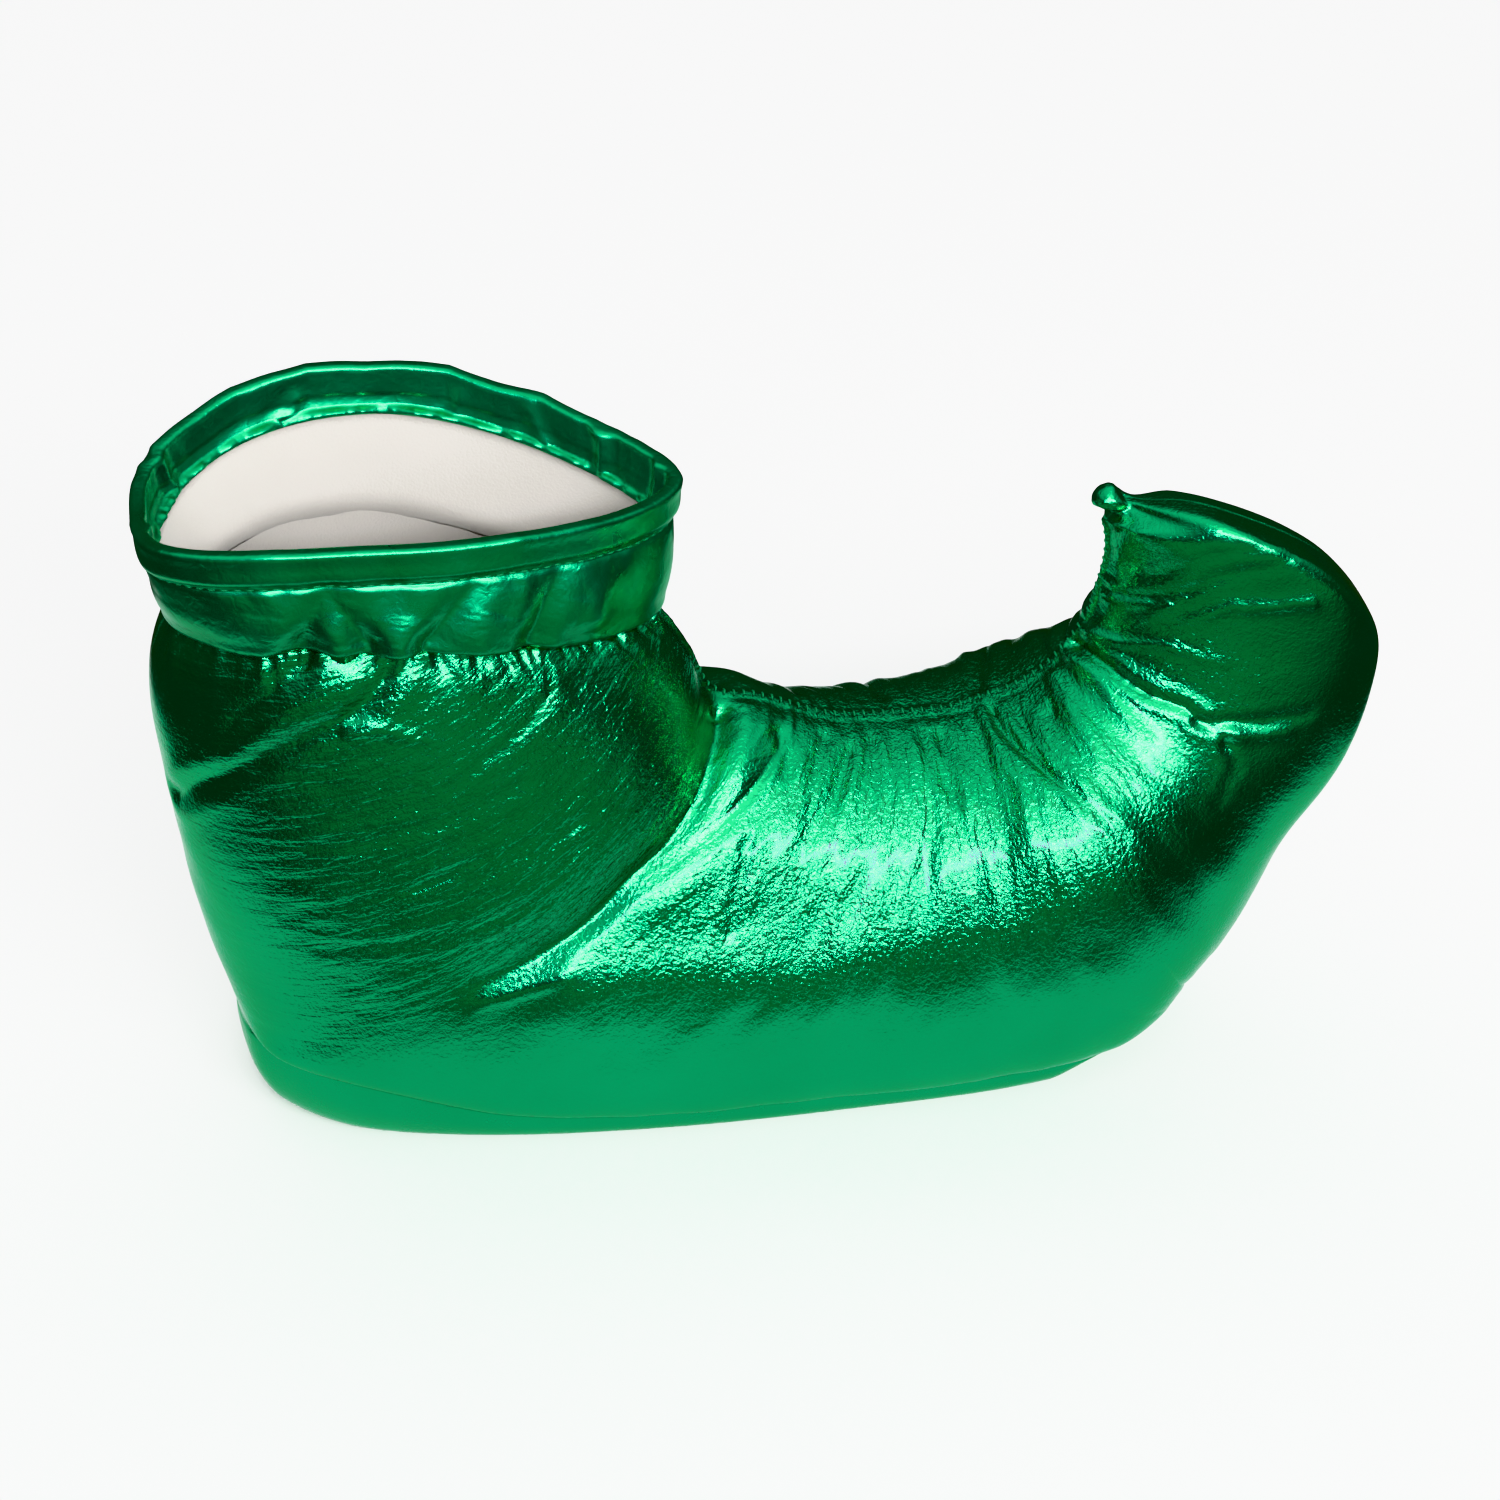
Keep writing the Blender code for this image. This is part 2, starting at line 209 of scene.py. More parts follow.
def ripple(spots, seed):
    """Smooth unevenness of about -1 to 1 at spots that are given in ripple lengths."""
    shift = Vector([seed * step for step in RIPPLE_SHIFT])
    return np.array([noise.noise(Vector(spot) + shift) for spot in spots.tolist()])


def ramp(value, start, over):
    """0 up to the start, then rising evenly to 1 over a length."""
    return np.clip((value - start) / over, 0.0, 1.0)


def bell(distance, width):
    """1 at no distance, falling off softly over a width."""
    return np.exp(-(distance / width) ** 2)


def run_along(points):
    """Length along a line of points, up to each of them."""
    return np.concatenate([[0.0], np.cumsum(np.linalg.norm(np.diff(points, axis=0), axis=1))])


def mesh_normals(points, faces):
    """Outward unit normals at the vertices of a mesh."""
    trial = bpy.data.meshes.new("trial")
    trial.from_pydata(points.tolist(), [], faces)
    normals = np.zeros(len(points) * 3, np.float32)
    trial.vertex_normals.foreach_get("vector", normals)
    bpy.data.meshes.remove(trial)
    return normals.reshape(-1, 3).astype(float)


places = np.concatenate([even_places(UPPER_ROWS, 0, HEEL_EDGE, RING_STEP, LINING_STRIDE),
                         even_places(UPPER_ROWS, HEEL_EDGE, SOLE_TIP, RING_STEP, LINING_STRIDE)[1:],
                         even_places(UPPER_ROWS, SOLE_TIP, TIP_END, RING_STEP, LINING_STRIDE)[1:]])
rings = []
vertex_place = []
vertex_angle = []
vertex_near = []
for place in places:
    half = GATHER_COLUMNS if place < GATHER_ROWS else HALF_COLUMNS
    angles = np.linspace(0.0, math.pi, half + 1)
    first = len(vertex_place)
    if place == TIP_END:
        ring = [first] * (2 * half + 2)
        angles = angles[:1]
        far_angles = angles[:0]
    elif HEEL_EDGE < place < SOLE_TIP:
        ring = list(range(first, first + 2 * half + 1)) + [first]
        far_angles = angles[:0:-1]
    else:
        near_part = list(range(first, first + half + 1))
        far_part = list(range(first + half + 1, first + 2 * half))
        ring = near_part + [first + half] + far_part + [first]
        far_angles = angles[-2:0:-1]
    rings.append(ring)
    vertex_place += [place] * (len(angles) + len(far_angles))
    vertex_angle += list(angles) + list(far_angles)
    vertex_near += [True] * len(angles) + [False] * len(far_angles)
vertex_place = np.array(vertex_place)
vertex_angle = np.array(vertex_angle)
vertex_near = np.array(vertex_near)
vertex_count = len(vertex_place)
upper_points = eased_points(UPPER_ROWS, vertex_place, vertex_angle, vertex_near, EASE_ROWS)
table_middle = upper_points[:, 0].max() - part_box("upper")[1].x / MM
upper_points[:, 0] -= table_middle
upper_faces = []
for ring, after in zip(rings, rings[1:]):
    upper_faces += bridge_rings(ring, after)
upper_faces = tidy_faces(upper_faces)

# The heel's lower corner is worked smooth, so that no crease runs up from the end of the sole seam
CORNER_ROWS = 1.3
CORNER_TURN = (0.5, 0.2)
CORNER_ROUNDS = 150
CORNER_STEP = 0.5
EDGE_TURN = 0.999
turn = vertex_angle / math.pi
on_sole_edge = (vertex_place >= HEEL_EDGE) & (vertex_place <= SOLE_TIP) & (turn > EDGE_TURN)
corner = bell(vertex_place - HEEL_EDGE, CORNER_ROWS)
corner *= ramp(turn, *CORNER_TURN) * np.where(on_sole_edge, 0.0, CORNER_STEP)
pairs = np.array([(face[place - 1], face[place]) for face in upper_faces for place in range(len(face))])
pairs = pairs[(corner[pairs] > 0.0).any(axis=1)]
partners = np.bincount(pairs[:, 0], minlength=vertex_count)
partners = partners + np.bincount(pairs[:, 1], minlength=vertex_count)
for step in range(CORNER_ROUNDS):
    for axis in range(3):
        beside = np.bincount(pairs[:, 0], upper_points[pairs[:, 1], axis], vertex_count)
        beside += np.bincount(pairs[:, 1], upper_points[pairs[:, 0], axis], vertex_count)
        middle = beside / np.maximum(partners, 1)
        upper_points[:, axis] += np.where(partners > 0, corner * (middle - upper_points[:, axis]), 0.0)
upper_normals = mesh_normals(upper_points, upper_faces)

# How far down from the gathers, how far round from the top seam, and how far along that seam each point is
SEAM_FINE = 2000
COLLAR_FINE = 1000
seam_line = section_points(UPPER_ROWS, vertex_place, 0.0 * vertex_angle, vertex_near)
seam_line[:, 0] -= table_middle
gather_line = section_points(UPPER_ROWS, 0.0 * vertex_place, vertex_angle, vertex_near)
gather_line[:, 0] -= table_middle
from_seam = np.linalg.norm(upper_points - seam_line, axis=1)
from_gathers = np.linalg.norm(upper_points - gather_line, axis=1)
fine_places = np.linspace(0.0, TIP_END, SEAM_FINE)
fine_seam = section_points(UPPER_ROWS, fine_places, 0.0 * fine_places, np.full(SEAM_FINE, True))
along_seam = np.interp(vertex_place, fine_places, run_along(fine_seam))
fine_angles = np.linspace(0.0, math.pi, COLLAR_FINE)
round_collar = np.zeros(vertex_count)
for is_near in (True, False):
    edge = section_points(UPPER_ROWS, 0.0 * fine_angles, fine_angles, np.full(COLLAR_FINE, is_near))
    run = np.interp(vertex_angle, fine_angles, run_along(edge))
    round_collar = np.where(vertex_near == is_near, run if is_near else -run, round_collar)

# Main creases, laid on one by one: kind, width, height at the first and at the last mark, and the marks
CREASES = (
    # the ankle: a wide hollow from the throat down to the heel, with the instep swelling over it
    ("fold", 5.5, 6.5, 1.6, ((-14, -8, 123), (-19, -26, 116), (-24, -33, 108), (-34.5, -40, 98),
                             (-46.5, -45, 90), (-56, -47, 82), (-64, -49, 77), (-76, -50, 71),
                             (-88, -51, 66))),
    ("ridge", 2.5, 1.3, 0.9, ((-66, -50, 68), (-74, -51, 64.5), (-80, -51, 62.5), (-87, -51, 61))),
    # the instep's full side, which turns under in a shoulder
    ("shoulder", 10.0, 3.6, 1.2, ((-62, -51, 62), (-37, -51, 63.5), (-6, -52, 60.5), (25, -52, 66),
                                  (42, -51, 71))),
    # sharp creases that run from the top seam over the instep
    ("trough", 1.3, 1.7, 0.3, ((61, -6, 114), (63, -17, 112), (71, -29, 107), (78, -35, 103), (85, -40, 97),
                               (89, -42, 92))),
    ("trough", 1.3, 1.8, 0.5, ((84, -2, 132), (86, -9, 133), (91, -16, 132), (100, -24, 128),
                               (110, -28, 125), (116, -31, 120), (121, -32, 117), (123, -33, 114))),
    ("ridge", 2.2, 1.3, 0.3, ((82, -3, 129), (87, -14, 128), (92, -22, 124), (98, -30, 116))),
    ("ridge", 1.8, 1.0, 0.3, ((78, -5, 124), (80, -13, 123), (84, -22, 118))),
    ("trough", 1.8, 0.9, 0.2, ((76, -16, 118), (80, -27, 112), (88, -38, 101))),
    ("trough", 1.6, 0.8, 0.2, ((-2, -11, 114), (0, -23, 107), (-1, -32, 101))),
    ("trough", 1.8, 0.9, 0.2, ((12, -10, 110), (6, -25, 105), (2, -40, 92))),
    ("trough", 1.6, 0.8, 0.2, ((19, -14, 109), (13, -25, 105), (5, -36, 96))),
    ("trough", 2.0, 1.0, 0.2, ((-14, -8, 123), (-19, -21, 119))),
    ("trough", 1.8, 1.0, 0.3, ((45, -11, 109), (46, -25, 105), (47, -29, 102))),
    ("trough", 1.6, 0.9, 0.4, ((40, -10, 109), (42, -23, 106), (46, -31, 101))),
    ("trough", 1.5, 0.5, 0.2, ((61, -29, 105), (62, -37, 98), (61, -42, 92))),
    ("trough", 1.4, 1.0, 0.9, ((-14, -37, 96), (-17, -44, 86), (-20, -49, 75))),
    ("trough", 1.6, 0.5, 0.2, ((25, -11, 109), (20, -25, 104), (18, -36, 96))),
    # the side of the toe: short folds at the seam, a long ridge, and cloth crowded into its bend
    ("ridge", 1.6, 1.3, 0.3, ((87, -3, 137), (93, -14, 139), (106, -21, 141), (114, -24, 139),
                              (122, -25, 137))),
    ("ridge", 1.1, 1.0, 0.3, ((91, -3, 153), (94, -8, 153), (99, -13, 155))),
    ("ridge", 1.2, 1.1, 0.3, ((91, -4, 149), (94, -10, 150), (100, -14, 151))),
    ("trough", 1.2, 0.7, 0.2, ((94, -9, 152), (104, -16, 155), (114, -17, 157))),
    ("ridge", 1.8, 0.4, 0.9, ((101, -16, 148), (106, -17, 152))),
    ("ridge", 1.6, 0.5, 1.0, ((112, -20, 149), (116, -20, 150), (123, -20, 152), (134, -19, 151),
                              (146, -16, 150))),
    ("trough", 1.5, 1.0, 0.5, ((114, -30, 121), (123, -31, 121), (130, -30, 120), (138, -29, 120),
                               (147, -26, 119))),
    ("ridge", 1.9, 0.9, 0.6, ((121, -31, 118), (130, -31, 116), (140, -30, 115))),
    ("trough", 1.5, 0.7, 0.2, ((122, -32, 115), (125, -34, 107), (119, -38, 98))),
    ("trough", 1.3, 0.35, 0.2, ((95, -8, 160), (103, -11, 164), (110, -11, 168))),
    ("trough", 1.3, 0.4, 0.3, ((101, -13, 159), (117, -13, 165), (136, -8, 163))),
    ("trough", 1.3, 0.4, 0.3, ((110, -17, 156), (123, -15, 160), (145, -8, 158))),
    ("trough", 1.6, 0.9, 0.5, ((96, -1, 178), (95, -7, 173), (92, -5, 168))),
    # the heel side: two slanting folds under the band with a full roll between them, and drag lines below
    ("trough", 2.4, 1.8, 0.6, ((-130, -37, 166), (-136, -37, 162), (-144, -37, 154), (-150, -36, 148),
                               (-153, -35, 141))),
    ("trough", 2.6, 1.7, 1.6, ((-110, -40, 164), (-113, -42, 160), (-120, -43, 153), (-127, -43, 150),
                               (-134, -42, 146), (-147, -39, 137), (-159, -31, 126), (-168, -16, 112))),
    ("ridge", 4.0, 0.6, 0.6, ((-121, -39, 164), (-130, -42, 156), (-140, -40, 149), (-152, -35, 138))),
    ("ridge", 1.6, 1.9, 0.6, ((-122, -44, 150), (-111, -45, 149), (-100, -45, 145))),
    ("trough", 1.4, 0.6, 0.4, ((-68, -36, 151), (-77, -42, 143), (-87, -46, 137), (-95, -47, 131))),
    ("trough", 1.5, 0.5, 0.3, ((-59, -44, 114), (-73, -48, 107), (-88, -49, 102))),
    ("trough", 1.6, 0.5, 0.3, ((-132, -45, 113), (-105, -49, 119), (-76, -45, 128))),
    ("trough", 1.6, 0.45, 0.4, ((-141, -41, 88), (-106, -50, 101), (-64, -45, 114))),
    ("trough", 1.5, 0.4, 0.3, ((-133, -44, 78), (-98, -51, 84), (-70, -49, 91))),
    # the far side, which folds more simply: the ankle hollow, long upright folds and a fan on the instep
    ("fold", 5.5, 0.3, 6.0, ((-90, 51, 64), (-72, 50, 74), (-56, 46, 88), (-43, 40, 100), (-30, 33, 108),
                             (-22, 26, 116), (-14, 9, 123))),
    ("trough", 2.0, 1.2, 0.3, ((60, 7, 114), (66, 25, 109), (74, 38, 100), (78, 45, 90))),
    ("trough", 1.6, 1.3, 0.3, ((82, 4, 129), (90, 18, 126), (101, 29, 119), (110, 35, 110))),
    ("trough", 1.8, 0.9, 0.2, ((33, 9, 110), (32, 27, 103), (30, 40, 93))),
    ("trough", 1.8, 1.0, 0.2, ((8, 9, 111), (4, 26, 105), (-1, 40, 93))),
    ("trough", 2.2, 1.4, 0.3, ((-112, 44, 163), (-113, 49, 145), (-117, 51, 122))),
    ("trough", 2.4, 1.5, 0.3, ((-136, 39, 165), (-143, 44, 147), (-146, 42, 126))),
    ("trough", 2.0, 1.2, 0.3, ((-82, 40, 163), (-82, 47, 144), (-88, 51, 118))),
    ("trough", 1.5, 0.9, 0.3, ((90, 3, 148), (101, 16, 149), (118, 21, 149), (136, 19, 146))),
    ("ridge", 1.8, 1.0, 0.3, ((88, 4, 139), (98, 18, 139), (113, 25, 136), (127, 27, 131))),
)
# Shape of a crease across its line, in its own widths
FOLD_REACH = 11.0
CREASE_REACH = 6.0
LEAST_STEPS = 6
LINE_ROUNDS = 2
TROUGH_POWER = 1.3
TROUGH_LIP_HEIGHT = 0.3
TROUGH_LIP_AT = 2.4
TROUGH_LIP_WIDTH = 1.2
SIDE_SHARP = 1.3
FOLD_SWELL = 0.2
FOLD_SWELL_REACH = 6.0
FOLD_EDGE = (0.55, 1.2)
FOLD_ROLL = (2.0, 1.6)
SHOULDER_SLOW = 1.6
TINY = 1e-9
ON_LINE = 1e-6


def press(points, normals, creases):
    """How far each point moves along its normal, for creases and ridges that are laid on the cloth."""
    moved = np.zeros(len(points))
    for kind, width, start_height, end_height, marks in creases:
        marks = np.array(marks, float)
        count = max(LEAST_STEPS, int(run_along(marks)[-1]))
        line = smooth_between(marks, np.linspace(0, len(marks) - 1, count))
        reach = (FOLD_REACH if kind == "fold" else CREASE_REACH) * width
        close = np.all((points > line.min(axis=0) - reach) & (points < line.max(axis=0) + reach), axis=1)
        spots = points[close]
        # The line is laid on the cloth before distances are taken from it
        to_cloth = np.linalg.norm(line[:, None, :] - spots[None, :, :], axis=2)
        line = spots[np.argmin(to_cloth, axis=1)]
        for step in range(LINE_ROUNDS):
            line[1:-1] = (line[:-2] + 2 * line[1:-1] + line[2:]) / 4
        apart = np.linalg.norm(spots[:, None, :] - line[None, :, :], axis=2)
        nearest = np.argmin(apart, axis=1)
        gap = apart[np.arange(len(spots)), nearest]
        height = start_height + (end_height - start_height) * nearest / (count - 1)
        if kind == "ridge":
            shape = bell(gap, width)
        elif kind == "trough":
            lip = bell(gap - TROUGH_LIP_AT * width, TROUGH_LIP_WIDTH * width)
            shape = -np.exp(-(gap / width) ** TROUGH_POWER) + TROUGH_LIP_HEIGHT * lip
        else:
            across = np.cross(np.gradient(line, axis=0)[nearest], normals[close])
            across /= np.linalg.norm(across, axis=1)[:, None] + TINY
            lateral = np.einsum("ij,ij->i", across, spots - line[nearest]) / np.maximum(gap, ON_LINE)
            right = 0.5 + 0.5 * np.clip(SIDE_SHARP * lateral, -1.0, 1.0)
            # A fold: the cloth on the left of the line swells over it, on the right it rolls in slowly
            swelling = FOLD_SWELL * (1 - np.exp(-gap / width)) * bell(gap, FOLD_SWELL_REACH * width)
            full = swelling - np.exp(-(gap / (FOLD_EDGE[0] * width)) ** FOLD_EDGE[1])
            slow = -np.exp(-(gap / (FOLD_ROLL[0] * width)) ** FOLD_ROLL[1])
            shape = full + (slow - full) * right
            if kind == "shoulder":
                # A shoulder: the cloth swells at the line and falls away more slowly on the right of it
                shape = bell(gap, width * (1.0 + SHOULDER_SLOW * right))
        moved[close] += height * shape
    return moved


crease_shift = press(upper_points, upper_normals, CREASES)

# Gathers under the band and puckers along the top seam: small pleats, each with its own place, height and
# length. A row of them is given by the ranges of spacing, height, reach and width, and by its slant
pleat_draw = np.random.default_rng(seed=5)
SHORT_GATHERS = ((2.2, 5.5), (0.4, 1.6), (2.5, 7.0), (0.8, 1.3), 0.5)
LONG_GATHERS = ((8.0, 21.0), (0.7, 2.0), (5.0, 12.0), (1.5, 3.2), 0.6)
SEAM_PUCKERS = ((3.0, 9.0), (0.1, 0.6), (8.0, 46.0), (0.9, 2.0), 0.08)
PLEAT_END = 1.5
GATHER_TUCK = 1.2
GATHER_TUCK_REACH = 5.0
PUCKER_FROM = (30.0, 25.0)
PUCKER_LEAST = 0.2
PUCKER_CLEAR = 3.0
SEAM_HEIGHT = 1.0
SEAM_HALF = 1.0
SEAM_DITCH = 0.25
SEAM_DITCH_AT = 2.6
SEAM_DITCH_HALF = 1.6
TIP_ROWS = 2.0


def pleats(round_at, from_edge, spacing, height, reach, width, lean):
    """Height of a row of small pleats that run away from a sewn edge."""
    raised = np.zeros(len(round_at))
    spot = round_at.min()
    while spot < round_at.max():
        spot += pleat_draw.uniform(*spacing)
        tall = pleat_draw.uniform(*height)
        length = pleat_draw.uniform(*reach)
        half_width = pleat_draw.uniform(*width)
        slant = pleat_draw.uniform(-lean, lean)
        gap = (round_at - spot - slant * from_edge) / half_width
        raised += tall * np.exp(-gap ** 2) * np.exp(-(from_edge / length) ** PLEAT_END)
    return raised


gather_shift = pleats(round_collar, from_gathers, *SHORT_GATHERS)
gather_shift += pleats(round_collar, from_gathers, *LONG_GATHERS)
gather_shift -= GATHER_TUCK * bell(from_gathers, GATHER_TUCK_REACH)
seam_fade = np.maximum(ramp(along_seam, *PUCKER_FROM), PUCKER_LEAST)
pucker_shift = np.zeros(vertex_count)
for is_near in (True, False):
    rows_of_pleats = pleats(along_seam, from_seam, *SEAM_PUCKERS)
    pucker_shift += np.where(vertex_near == is_near, rows_of_pleats * seam_fade, 0.0)
pucker_shift *= ramp(from_seam, 0.0, PUCKER_CLEAR)
tip_hold = ramp(TIP_END - vertex_place, 0.0, TIP_ROWS)
seam_ridge = SEAM_HEIGHT * bell(from_seam, SEAM_HALF)
seam_ridge -= SEAM_DITCH * bell(from_seam - SEAM_DITCH_AT, SEAM_DITCH_HALF)
seam_ridge *= tip_hold

# Ways of the cloth: on the heel its drag lines sweep up to the throat, in front they fan out from the seam
SWEEP_FROM = -165.0
SWEEP_OVER = 115.0
SWEEP_MOST = 1.3
SWEEP_RISE = (8.0, 38.0, 2.5)
HEEL_ALONG = (1.1, 0.7)
HEEL_TILT = 0.15
HEEL_ROWS = (HEEL_EDGE + 1.0, 1.5)
HEEL_TURN = (0.9, 0.25)
SHAFT_FRONT = (-118.0, 45.0)
SHAFT_UP = (102.0, 25.0)
SHAFT_CALM = 0.5
HEEL_DRAGS = ((5.5, 30.0, 0.40, 1), (3.0, 15.0, 0.32, 2))
HEEL_DRAG_LEVEL = 0.4
HEEL_DRAG_SHARP = 1.2
FAN_DRAGS = ((6.0, 42.0, 1.0, 3), (3.2, 22.0, 0.6, 4))
FAN_SEAM = (3.0, 12.0)
FAN_LEAST = 0.1
FAN_FROM = (ROW_NAMES.index("heel_turn") + 0.5, 1.5)
LUMPS = ((34.0, 0.7, 6), (15.0, 0.3, 7))
BELLY_TURN = (0.52, 0.2)
BELLY_ROWS = (3.5, 2.0)
BELLY_CALM = 0.6
TOE_ROWS = (ROW_NAMES.index("sole_tip") + 0.4, 1.8)
TOE_CALM = 0.75
upper_x = upper_points[:, 0]
upper_y = upper_points[:, 1]
upper_z = upper_points[:, 2]
sweep = np.clip((upper_x - SWEEP_FROM) / SWEEP_OVER, 0.0, SWEEP_MOST)
swept_z = upper_z - SWEEP_RISE[0] * sweep - SWEEP_RISE[1] * sweep ** SWEEP_RISE[2]
heel_way = np.stack([HEEL_ALONG[0] * upper_x + HEEL_ALONG[1] * upper_y,
                     swept_z + HEEL_TILT * upper_y], axis=1)
vamp_way = np.stack([np.where(vertex_near, from_seam, -from_seam), along_seam], axis=1)
heel_share = ramp(HEEL_ROWS[0] - vertex_place, 0.0, HEEL_ROWS[1])
heel_share *= ramp(HEEL_TURN[0] - turn, 0.0, HEEL_TURN[1])
heel_share *= 1.0 - SHAFT_CALM * (ramp(upper_x, *SHAFT_FRONT) * ramp(upper_z, *SHAFT_UP))
flat_third = np.zeros((vertex_count, 1))
heel_drag = np.zeros(vertex_count)
for across, along, height, seed in HEEL_DRAGS:
    spots = np.concatenate([heel_way / (along, across), flat_third], axis=1)
    heel_drag += height * (HEEL_DRAG_LEVEL - np.abs(ripple(spots, seed))) * HEEL_DRAG_SHARP
fan_drag = np.zeros(vertex_count)
for across, along, height, seed in FAN_DRAGS:
    spots = np.concatenate([vamp_way / (along, across), flat_third], axis=1)
    fan_drag += height * ripple(spots, seed)
fan_drag *= np.maximum(ramp(from_seam, *FAN_SEAM), FAN_LEAST) * ramp(vertex_place, *FAN_FROM)
calm_belly = 1.0 - BELLY_CALM * ramp(turn, *BELLY_TURN) * ramp(vertex_place, *BELLY_ROWS)
calm_toe = 1.0 - TOE_CALM * ramp(vertex_place, *TOE_ROWS)
drag_shift = (heel_share * heel_drag + (1.0 - heel_share) * fan_drag) * calm_belly * calm_toe
lumps = sum(height * ripple(upper_points / length, seed) for length, height, seed in LUMPS)
lumps *= calm_toe
pucker_shift *= calm_toe

# The foil is most crinkled where the instep is trodden, and smoother on the heel, the belly and the toe
CRINKLE_EARLY = 0.5
CRINKLE_OVER = 1.5
CRINKLE_TURN = (0.52, 0.12)
CRINKLE_HEEL = 0.3
crinkled = ramp(vertex_place - FAN_FROM[0] + CRINKLE_EARLY, 0.0, CRINKLE_OVER) * calm_toe
crinkled *= ramp(CRINKLE_TURN[0] - turn, 0.0, CRINKLE_TURN[1])
crinkled = np.maximum(crinkled, CRINKLE_HEEL * heel_share)

# The sewn edges hold the cloth still
GATHER_HOLD = 1.5
SOLE_HOLD = 14.0
edge_hold = ramp(from_gathers, 0.0, GATHER_HOLD)
open_share = ramp(np.minimum(vertex_place - HEEL_EDGE, SOLE_TIP - vertex_place), -1.0, 1.0)
sole_hold = 1.0 - open_share * np.clip(1.0 - (1.0 - turn) * SOLE_HOLD, 0.0, 1.0)
upper_shift = (crease_shift + pucker_shift + drag_shift + lumps) * edge_hold + gather_shift + seam_ridge
upper_shift *= sole_hold * tip_hold
outer_points = upper_points + upper_normals * upper_shift[:, None]

# The point of the toe is turned to a small round knob with a pinched neck behind it
KNOB_RADIUS = 4.6
KNOB_NECK = 3.9
KNOB_FROM = ROW_NAMES.index("toe_neck") + 0.35
KNOB_FULL = ROW_NAMES.index("tip") - 0.1
tip_point = upper_points[-1]
for ring, place in zip(rings, places):
    if not KNOB_FROM < place < TIP_END:
        continue
    members = sorted(set(ring))
    middle = outer_points[members].mean(axis=0)
    spokes = outer_points[members] - middle
    from_point = np.linalg.norm(middle - tip_point)
    ball = math.sqrt(max(KNOB_RADIUS ** 2 - (from_point - KNOB_RADIUS) ** 2, 0.0))
    wanted = ball if from_point < KNOB_RADIUS else max(ball, KNOB_NECK)
    share = min((place - KNOB_FROM) / (KNOB_FULL - KNOB_FROM), 1.0)
    share *= share * (3.0 - 2.0 * share)
    grown = 1.0 + share * (wanted / np.linalg.norm(spokes, axis=1).mean() - 1.0)
    outer_points[members] = middle + spokes * grown

# The back of the curled toe leans softly toward the near side, while its seam stays upright
TOE_LEAN = {"toe_back": 1.8, "toe_crown": 7.0, "toe_top": 13.5, "toe_neck": 12.5}
LEAN_WAY = np.array((-0.35, -1.0, 0.63))
sizes = section_sizes(UPPER_ROWS, vertex_place)
reach_x = sizes["outer_x"] - sizes["seam_x"]
reach_z = sizes["outer_z"] - sizes["seam_z"]
back_share = (upper_x + table_middle - sizes["seam_x"]) * reach_x
back_share += (upper_z - sizes["seam_z"]) * reach_z
back_share = np.clip(back_share / np.maximum(reach_x ** 2 + reach_z ** 2, 1.0), 0.0, 1.0)
lean = smooth_between([[TOE_LEAN.get(name, 0.0)] for name in ROW_NAMES], vertex_place)[:, 0]
outer_points += (lean * back_share)[:, None] * LEAN_WAY

# The lining is the same shape one wall further in, with fewer rings and columns. It keeps under the creases
# and draws together in the point of the toe
UPPER_WALL = 2.6
TIP_WALL_SHARE = 0.6
LINING_CLEAR = 6.5
SNUG_ROWS = (ROW_NAMES.index("toe_crown") + 0.6, 1.4)
SNUG_SHARE = 0.65
heart = np.stack([sizes["seam_x"] + reach_x * sizes["widest"] - table_middle,
                  0.0 * vertex_place,
                  sizes["seam_z"] + reach_z * sizes["widest"]], axis=1)
lining_rings = []
lining_index = {}
for ring in rings[::LINING_STRIDE]:
    stride = (len(ring) - 2) // (HALF_COLUMNS * 2 // LINING_STRIDE)
    half = len(ring) // 2
    kept = ring[:half:stride] + ring[half::stride]
    for vertex in kept:
        lining_index.setdefault(vertex, vertex_count + len(lining_index))
    lining_rings.append([lining_index[vertex] for vertex in kept])
lining_order = list(lining_index)
cloth_tree = kdtree.KDTree(vertex_count)
for vertex, point in enumerate(upper_points.tolist()):
    cloth_tree.insert(point, vertex)
cloth_tree.balance()
lining_shift = []
for point in upper_points[lining_order].tolist():
    around = cloth_tree.find_range(point, LINING_CLEAR)
    lining_shift.append(min(upper_shift[vertex] for spot, vertex, gap in around))
lining_points = upper_points[lining_order] + upper_normals[lining_order] * np.array(lining_shift)[:, None]
inward = heart[lining_order] - lining_points
depth = np.linalg.norm(inward, axis=1)
inward *= (np.minimum(UPPER_WALL, TIP_WALL_SHARE * depth) / np.maximum(depth, TINY))[:, None]
lining_points += inward
snug = ramp(vertex_place[lining_order], *SNUG_ROWS)
lining_points += (heart[lining_order] - lining_points) * (SNUG_SHARE * snug)[:, None]
lining_back = back_share[lining_order]
lining_back += (sizes["widest"][lining_order] - lining_back) * SNUG_SHARE * snug
lining_points += (lean[lining_order] * lining_back)[:, None] * LEAN_WAY
lining_faces = []
for ring, after in zip(lining_rings, lining_rings[1:]):
    lining_faces += bridge_rings(ring, after)
first_open = int(np.argmin(np.abs(places - HEEL_EDGE)))
last_open = int(np.argmin(np.abs(places - SOLE_TIP)))
open_rings = rings[first_open:last_open + 1]
open_lining = lining_rings[first_open // LINING_STRIDE:last_open // LINING_STRIDE + 1]
inner_half = HALF_COLUMNS // LINING_STRIDE
near_edge = bridge([ring[HALF_COLUMNS] for ring in open_rings], [ring[inner_half] for ring in open_lining])
